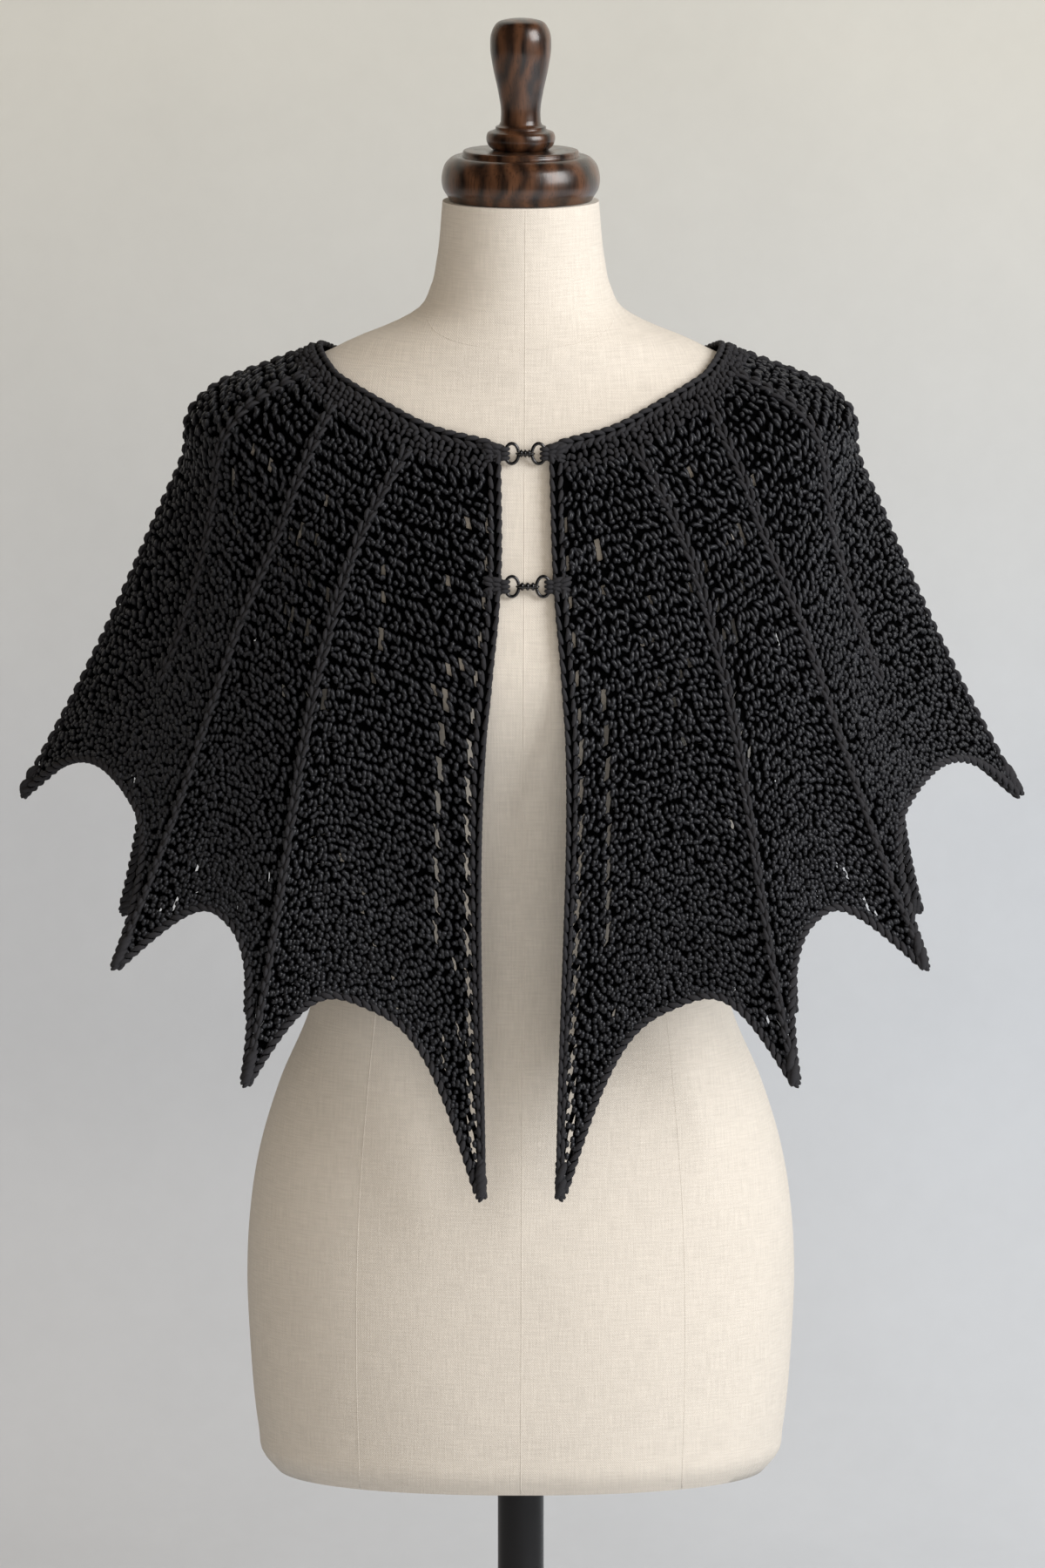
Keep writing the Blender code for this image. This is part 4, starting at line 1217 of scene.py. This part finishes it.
class CAPELET_OT_edges(bpy.types.Operator):
    """Neckband, plaited front bands, hem ropes and the knobs at the hem's points"""

    bl_idname = "capelet.edges"
    bl_label = "Edges"

    def execute(self, context):
        mat = bpy.data.materials["yarn"]
        random = np.random.default_rng(77)
        for side, word in SIDES:
            strands = Strands()
            u = np.concatenate([[0.0, 0.0], round_row(0.005, 0, CENTRE_BACK, NECK_PITCH)])
            points, along, down, normal = cape_frame(u, np.full_like(u, 0.005), side)
            points[:2] += down[:2] * 0.0010 - along[:2] * BAND_WIDTH * np.array([[0.75], [0.15]])
            chain(strands, points, down, along, normal, NECK_PLAIT)
            for index, place in enumerate(NECKBAND_ROWS):
                u = round_row(place, 0.02 + 0.02 * (index % 2), CENTRE_BACK, LOBE_PITCH)
                count = len(u)
                points, along, down, normal = cape_frame(u, np.full_like(u, place), side)
                degrees = random.normal(38, 20, count) * np.where(np.arange(count) % 2, 1.0, -0.6)
                angle = lean_towards_x(along, down, normal, degrees[:, None])
                axis = down * np.cos(angle)[:, None] + along * np.sin(angle)[:, None]
                shift = random.normal(0, 0.0005, (2, count, 1))
                lift = random.normal(0.0011, 0.0004, (count, 1))
                strands.add(
                    points + along * shift[0] + down * shift[1] + normal * lift,
                    axis,
                    normal,
                    random.normal(0.0053, 0.0006, count),
                    random.normal(0.0031, 0.0003, count),
                    0.0036,
                    dive=0.0014,
                )
            add_to_root(strands.build(f"neckband_rows_{word}", mat), "yarn")

            strands = Strands()
            v = down_rib(0, BAND_START, 0.985, PLAIT_PITCH)
            points, along, down, normal = cape_frame(np.zeros_like(v), v, side)
            middle = points - along * BAND_WIDTH / 2
            chain(strands, middle, along, down, normal, BAND_PLAIT)
            chain(strands, middle + down * PLAIT_PITCH / 2, along, down, normal, BAND_UNDER_PLAIT)
            add_to_root(strands.build(f"front_band_plait_{word}", mat), "yarn")

            strands = Strands()
            cores = []
            for gore, first, last, *_ in GORES:
                u = round_row(1.0, first, last, HEM_PITCH)
                points, _, _, normal = cape_frame(u, np.ones_like(u), side)
                run = unit(np.gradient(points, axis=0))
                below = unit(np.cross(run, normal)) * side
                middle = points + below * 0.0016
                cores.append(tube(middle, 0.0018, sides=6))
                for way in (-1, 1):
                    angle = np.radians(26) * way * side
                    axis = run * np.cos(angle) + below * np.sin(angle)
                    strands.add(
                        middle + normal * (way * 0.0012), axis, normal, 0.0098, 0.0036, 0.0036,
                        dive=0.0012 * way, rings=4, sides=7,
                    )
            ropes = [f"hem_rope_{row[0]}_{word}" for row in GORES]
            add_to_root(strands.build(f"hem_plait_{word}", mat), "yarn", *ropes)
            # The hem's core gets the same darkened yarn: painted shade.
            painted_shade_yarn = bpy.data.materials["yarn_painted_shade"]
            add_to_root(mesh_object(f"hem_core_{word}", *joined(cores), painted_shade_yarn), "yarn")

            strands = Strands()
            tips = [0, 1, 2, 4, 6, 7] + ([8] if side > 0 else [])
            for tip in tips:
                points, along, down, normal = (value[0] for value in cape_frame([float(tip)], [1.0], side))
                centre = points - down * 0.0035 - (along * 0.0022 if tip == 0 else 0)
                turn = 2 * np.pi * np.arange(6) / 6
                outward = along * np.cos(turn)[:, None] + normal * np.sin(turn)[:, None]
                round_tip = np.cross(down, outward)
                axis = down * 0.90 + round_tip * 0.44
                for back, reach, length in ((0.0, 0.0027, 0.0125), (-0.0085, 0.0031, 0.0125)):
                    strands.add(
                        centre + down * back + outward * reach, axis, outward, length, 0.0046, 0.0042,
                        dive=0.0022, rings=5, sides=8,
                    )
                strands.add(centre[None], down[None], normal[None], 0.0125, 0.0070, 0.0070, rings=5, sides=8)
            add_to_root(strands.build(f"hem_knobs_{word}", mat), "yarn")
        return {"FINISHED"}


# Yarn tabs of the clasps. Columns: how far out from the ring's centre, strands
# one above the other, their length and how they fan out.
TAB_STRANDS = ((0.0042, 3, 0.0072, 0), (0.0088, 4, 0.0086, 14), (0.0130, 4, 0.0090, 20))
TAB_ROW = 0.0027
# Radius of the rings' and the links' wire, and of the link's beads and waists.
RING_WIRE, LINK_WIRE = 0.0010, 0.0006
LINK_BEAD, LINK_WAIST = 0.0025, 0.0015


def box_middle(node, wire):
    """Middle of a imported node's box, and half its size up to the middle of its wire."""
    low, high = (np.array(corner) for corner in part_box(node))
    return (low + high) / 2, (high - low) / 2 - wire


class CAPELET_OT_clasps(bpy.types.Operator):
    """Gunmetal rings and links, and the yarn loops that hold them"""

    bl_idname = "capelet.clasps"
    bl_label = "Clasps"

    def execute(self, context):
        metal = metal_material("gunmetal", (0.085, 0.083, 0.085), 1.0, 0.18, 0.32, 900.0)
        yarn = bpy.data.materials["yarn"]
        turn = 2 * np.pi * np.arange(40) / 40
        front = np.array([0.0, -1.0, 0.0])
        for label in ("upper", "lower"):
            rings, loops = [], []
            names = []
            strands = Strands()
            for side, word in SIDES:
                node = f"clasp_ring_{label}_{word}"
                names.append(node)
                loops.append(f"clasp_loop_{label}_{word}")
                centre, half = box_middle(node, RING_WIRE)
                path = centre + half * stacked(np.cos(turn), 0, np.sin(turn))
                rings.append(tube(path, RING_WIRE, sides=12, closed=True))
                for out, rows_up, length, lean in TAB_STRANDS:
                    up = (np.arange(rows_up) - (rows_up - 1) / 2) * TAB_ROW
                    at = centre + stacked(side * out, 0, up) + front * 0.0010
                    angle = np.radians(lean) * np.where(up < 0, -1, 1)
                    axis = stacked(side * np.cos(angle), 0.18 * side, np.sin(angle))
                    facing = np.tile(front, (rows_up, 1))
                    strands.add(at, axis, facing, length, 0.0031, 0.0036, dive=0.0014, rings=5, sides=8)
            node = f"clasp_link_{label}"
            centre, half = box_middle(node, LINK_WIRE)
            side_run = half[0] - half[1]
            long_way = np.sign(np.cos(turn)) * side_run + half[1] * np.cos(turn)
            path = centre + stacked(long_way, half[1] * np.sin(turn), 0)
            rings.append(tube(path, LINK_WIRE, sides=10, closed=True))
            run = np.linspace(-1, 1, 49)
            bead = LINK_BEAD * np.abs(np.cos(1.5 * np.pi * run)) ** 0.6
            barrel = centre + stacked(run * side_run, 0, 0)
            rings.append(tube(barrel, np.maximum(bead, LINK_WAIST), sides=16))
            add_to_root(mesh_object(f"clasp_{label}", *joined(rings), metal), "gunmetal", node, *names)
            add_to_root(strands.build(f"clasp_loops_{label}", yarn), "yarn", *loops)
        return {"FINISHED"}


# The dress form


def form_ring(z, turn):
    """Superellipse of the form at each height: x = half width cos**(2/p) t, and
    y = depth sin**(2/p) t with the front or the back depth."""
    half_width, front, back, squareness = form_section(z)
    power = 2 / squareness
    cosine, sine = np.cos(turn), np.sin(turn)
    x = half_width * np.sign(cosine) * np.abs(cosine) ** power
    y = np.where(sine < 0, front, back) * np.sign(sine) * np.abs(sine) ** power
    return stacked(x, y, z)


def on_form_front(x, z, way=-1):
    """Point of the form's front (or back, way 1) at x and z."""
    half_width, front, back, squareness = form_section(z)
    depth = front if way < 0 else back
    y = way * depth * np.clip(1 - np.abs(x / half_width) ** squareness, 0, 1) ** (1 / squareness)
    return stacked(x, y, z)


# Height and distance from the middle of the seams over bust and shoulder blades.
PRINCESS_SEAM = (
    (0.282, 0.096), (0.36, 0.0978), (0.444, 0.0965), (0.575, 0.0853), (0.62, 0.080),
    (0.70, 0.080), (0.78, 0.084), (0.86, 0.096), (0.91, 0.105),
)


class CAPELET_OT_form(bpy.types.Operator):
    """Linen-covered torso of the dress form and its seams"""

    bl_idname = "capelet.form"
    bl_label = "Dress form"

    def execute(self, context):
        settings = context.scene.capelet_form
        mat = linen_material(settings)
        columns, rows = 144, 190
        turn = np.linspace(0.5 * np.pi, 2.5 * np.pi, columns + 1)
        z = np.linspace(FORM_BOTTOM, FORM_TOP, rows)
        zz, tt = np.meshgrid(z, turn, indexing="ij")
        grid = form_ring(zz, tt)
        around = np.concatenate(
            [np.zeros((rows, 1)), np.cumsum(np.linalg.norm(np.diff(grid, axis=1), axis=-1), axis=1)], axis=1
        )
        laid = stacked(around - around[:, -1:] / 2, zz)
        quads_uv = np.stack([laid[:-1, :-1], laid[:-1, 1:], laid[1:, 1:], laid[1:, :-1]], axis=2)
        middles = stacked(0, 0, [FORM_BOTTOM, FORM_TOP])
        points = np.concatenate([grid[:, :-1].reshape(-1, 3), middles])
        faces = round_faces(rows, columns)
        ends_uv = [points[face][..., :2].reshape(-1, 2) for face in faces[1:]]
        corner_uv = np.concatenate([quads_uv.reshape(-1, 2), *ends_uv])
        torso = mesh_object("linen_torso", points, faces, mat, corner_uv=corner_uv)
        keep_corners(torso, 50)
        add_to_root(torso, "linen", "torso")

        seam = settings.seam
        tubes = []
        z = np.linspace(FORM_BOTTOM + 0.001, FORM_TOP - 0.001, 220)
        knots = np.array(PRINCESS_SEAM)
        lean = 0.0026 * (z - FORM_BOTTOM) / 0.7
        paths = [on_form_front(lean, z), on_form_front(0 * z, z, 1)]
        low = z[z < 0.91]
        bend = hermite(low, knots[:, 0], knots[:, 1:])[:, 0]
        for way in (-1, 1):
            for turned in (-1, 1):
                paths.append(on_form_front(turned * bend, low, way))
        around = np.linspace(0, 2 * np.pi, 160, endpoint=False)
        collar = 0.9835 - 0.0225 * np.clip(-np.sin(around), 0, 1) ** 1.6
        neck = form_ring(collar, around)
        for path in paths:
            _, away = form_distance(path)
            tubes.append(tube(path - away * seam * 0.28, seam / 2, sides=6))
        _, away = form_distance(neck)
        tubes.append(tube(neck - away * seam * 0.28, seam / 2, sides=6, closed=True))
        seam_points, seam_faces = joined(tubes)
        seam_uv = np.concatenate([seam_points[block][..., [0, 2]].reshape(-1, 2) for block in seam_faces])
        seams = mesh_object("linen_seams", seam_points, seam_faces, mat, corner_uv=seam_uv)
        add_to_root(seams, "linen")
        return {"FINISHED"}


class CAPELET_OT_turnings(bpy.types.Operator):
    """Turned wooden neck cap and finial"""

    bl_idname = "capelet.turnings"
    bl_label = "Turned wood"

    def execute(self, context):
        mat = wood_material(context.scene.capelet_form)
        cap = [
            [(0.0300, 0.0300), (0.0330, 0.0300)],
            [(0.0330, 0.0300), (0.0340, 0.0297), (0.0345, 0.0290)],
            [(0.0345, 0.0290), (0.0347, 0.0275), (0.0352, 0.0266)],
            [(0.0352, 0.0266), (0.0400, 0.0262), (0.0445, 0.0225), (0.0470, 0.0150), (0.0465, 0.0075),
             (0.0430, 0.0015)],
            [(0.0430, 0.0015), (0.0425, 0.0003), (0.0400, 0.0)],
        ]
        finial = [
            [(0.0010, 0.1086), (0.0080, 0.1080), (0.0140, 0.1060), (0.0175, 0.1000), (0.0182, 0.0920),
             (0.0165, 0.0790), (0.0135, 0.0650), (0.0118, 0.0530), (0.0120, 0.0470)],
            [(0.0120, 0.0470), (0.0128, 0.0452), (0.0150, 0.0440)],
            [(0.0150, 0.0440), (0.0152, 0.0425), (0.0165, 0.0418)],
            [(0.0165, 0.0418), (0.0195, 0.0405), (0.0205, 0.0365), (0.0190, 0.0325), (0.0165, 0.0303)],
        ]
        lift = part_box("neck_cap")[0].z
        add_to_root(lathe("wooden_cap", cap, lift, mat), "wood", "neck_cap")
        add_to_root(lathe("wooden_finial", finial, lift, mat), "wood", "finial")
        return {"FINISHED"}


class CAPELET_OT_stand(bpy.types.Operator):
    """Black pole and round base"""

    bl_idname = "capelet.stand"
    bl_label = "Stand"

    def execute(self, context):
        mat = metal_material("black_paint", (0.014, 0.014, 0.016), 0.0, 0.26, 0.40, 30.0)
        low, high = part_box("stand_base")
        radius, top = high.x, high.z
        base = [
            [(radius * 0.12, top + 0.0004), (radius - 0.010, top)],
            [(radius - 0.010, top), (radius - 0.004, top - 0.0006), (radius - 0.0008, top - 0.0035),
             (radius, top - 0.007)],
            [(radius, top - 0.007), (radius, 0.001)],
            [(radius, 0.001), (radius - 0.0003, 0.0003), (radius - 0.001, 0.0)],
        ]
        add_to_root(lathe("round_base", base, 0.0, mat, sides=144), "black_paint", "stand_base")
        low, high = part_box("stand_pole")
        radius = high.x
        pole = [
            [(radius - 0.0006, high.z), (radius, high.z - 0.0006)],
            [(radius, high.z - 0.0006), (radius, low.z + 0.0006)],
            [(radius, low.z + 0.0006), (radius - 0.0006, low.z)],
        ]
        add_to_root(lathe("black_pole", pole, 0.0, mat, sides=64), "black_paint", "stand_pole")
        return {"FINISHED"}


# The stage


# The camera looks down at the target by the elevation in degrees, and its picture
# is as tall as the frame's height at the target.
TARGET = (0.00104, 0.0, 0.6927)
ELEVATION = 8.0
FRAME_HEIGHT = 0.936
SENSOR = 36.0
# Floor and wall: reach of the floor each way, place and top of the wall, and the
# radius of the cove between them.
FLOOR_REACH = 4.0
WALL_PLACE, WALL_TOP = 1.25, 3.2
COVE = 0.35
SKY = (0.97, 0.82, 0.65)
SKY_STRENGTH = 0.40
KEY_COLOUR = (0.985, 0.98, 0.975)
FILL_COLOUR = (1.0, 0.94, 0.87)


def area_light(name, place, aim, size, power, colour):
    data = bpy.data.lights.new(name, "AREA")
    data.shape = "RECTANGLE"
    data.size, data.size_y = size
    data.energy = power
    data.color = colour
    obj = bpy.data.objects.new(name, data)
    bpy.context.scene.collection.objects.link(obj)
    obj.location = place
    direction = unit(np.array(aim, float) - np.array(place, float))
    obj.rotation_euler = (
        math.acos(-direction[2]),
        0.0,
        math.atan2(direction[1], direction[0]) - math.pi / 2,
    )
    obj.visible_camera = False
    return obj


class CAPELET_OT_stage(bpy.types.Operator):
    """Pale floor and wall, soft lights and the camera"""

    bl_idname = "capelet.stage"
    bl_label = "Stage"

    def execute(self, context):
        settings = context.scene.capelet_stage
        arc = np.linspace(0, np.pi / 2, 17)
        y = np.concatenate([[-FLOOR_REACH], WALL_PLACE - COVE + COVE * np.sin(arc), [WALL_PLACE]])
        z = np.concatenate([[0.0], COVE - COVE * np.cos(arc), [WALL_TOP]])
        grid = stacked([-FLOOR_REACH, FLOOR_REACH], y[:, None], z[:, None])
        row = np.arange(len(y) - 1) * 2
        faces = [stacked(row, row + 1, row + 3, row + 2)]
        floor = mesh_object("floor", grid, faces, wall_material(settings))

        world = bpy.data.worlds.new("Studio")
        world.use_nodes = True
        background = world.node_tree.nodes["Background"]
        feed_all(world.node_tree, background, Color=SKY, Strength=SKY_STRENGTH)
        world.cycles_visibility.glossy = False
        context.scene.world = world
        context.scene.view_settings.view_transform = "Standard"
        area_light("Key", (2.65, -1.75, 2.35), (0, 0, 0.72), (2.0, 2.2), settings.key, KEY_COLOUR)
        fill = area_light("Fill", (0.3, -3.5, 0.9), (0, 0, 0.65), (2.4, 1.6), settings.fill, FILL_COLOUR)
        fill.visible_glossy = False

        tilt = math.radians(ELEVATION)
        data = bpy.data.cameras.new("Camera")
        data.sensor_width = SENSOR
        data.lens = SENSOR * settings.distance / FRAME_HEIGHT
        data.clip_end = 60.0
        camera = bpy.data.objects.new("Camera", data)
        context.scene.collection.objects.link(camera)
        camera.location = (
            TARGET[0],
            TARGET[1] - settings.distance * math.cos(tilt),
            TARGET[2] + settings.distance * math.sin(tilt),
        )
        camera.rotation_euler = (math.pi / 2 - tilt, 0.0, 0.0)
        context.scene.camera = camera
        return {"FINISHED"}


# The panel


STEPS = ("cloth", "stitches", "ribs", "edges", "clasps", "form", "turnings", "stand", "stage")


class CAPELET_PT_panel(bpy.types.Panel):
    bl_label = "Capelet"
    bl_idname = "CAPELET_PT_panel"
    bl_space_type = "VIEW_3D"
    bl_region_type = "UI"
    bl_category = "Capelet"

    def draw(self, context):
        scene = context.scene
        for settings in (scene.capelet_yarn, scene.capelet_form, scene.capelet_stage):
            box = self.layout.box()
            for name in settings.bl_rna.properties.keys():
                if name not in ("rna_type", "name"):
                    box.prop(settings, name)
        for step in STEPS:
            self.layout.operator(f"capelet.{step}")


CLASSES = (
    YarnSettings,
    FormSettings,
    StageSettings,
    CAPELET_OT_cloth,
    CAPELET_OT_stitches,
    CAPELET_OT_ribs,
    CAPELET_OT_edges,
    CAPELET_OT_clasps,
    CAPELET_OT_form,
    CAPELET_OT_turnings,
    CAPELET_OT_stand,
    CAPELET_OT_stage,
    CAPELET_PT_panel,
)


def register():
    for made in CLASSES:
        bpy.utils.register_class(made)
    bpy.types.Scene.capelet_yarn = PointerProperty(type=YarnSettings)
    bpy.types.Scene.capelet_form = PointerProperty(type=FormSettings)
    bpy.types.Scene.capelet_stage = PointerProperty(type=StageSettings)


def unregister():
    del bpy.types.Scene.capelet_stage
    del bpy.types.Scene.capelet_form
    del bpy.types.Scene.capelet_yarn
    for made in reversed(CLASSES):
        bpy.utils.unregister_class(made)


def main():
    register()
    for step in STEPS:
        getattr(bpy.ops.capelet, step)()


if __name__ == "__main__":
    main()
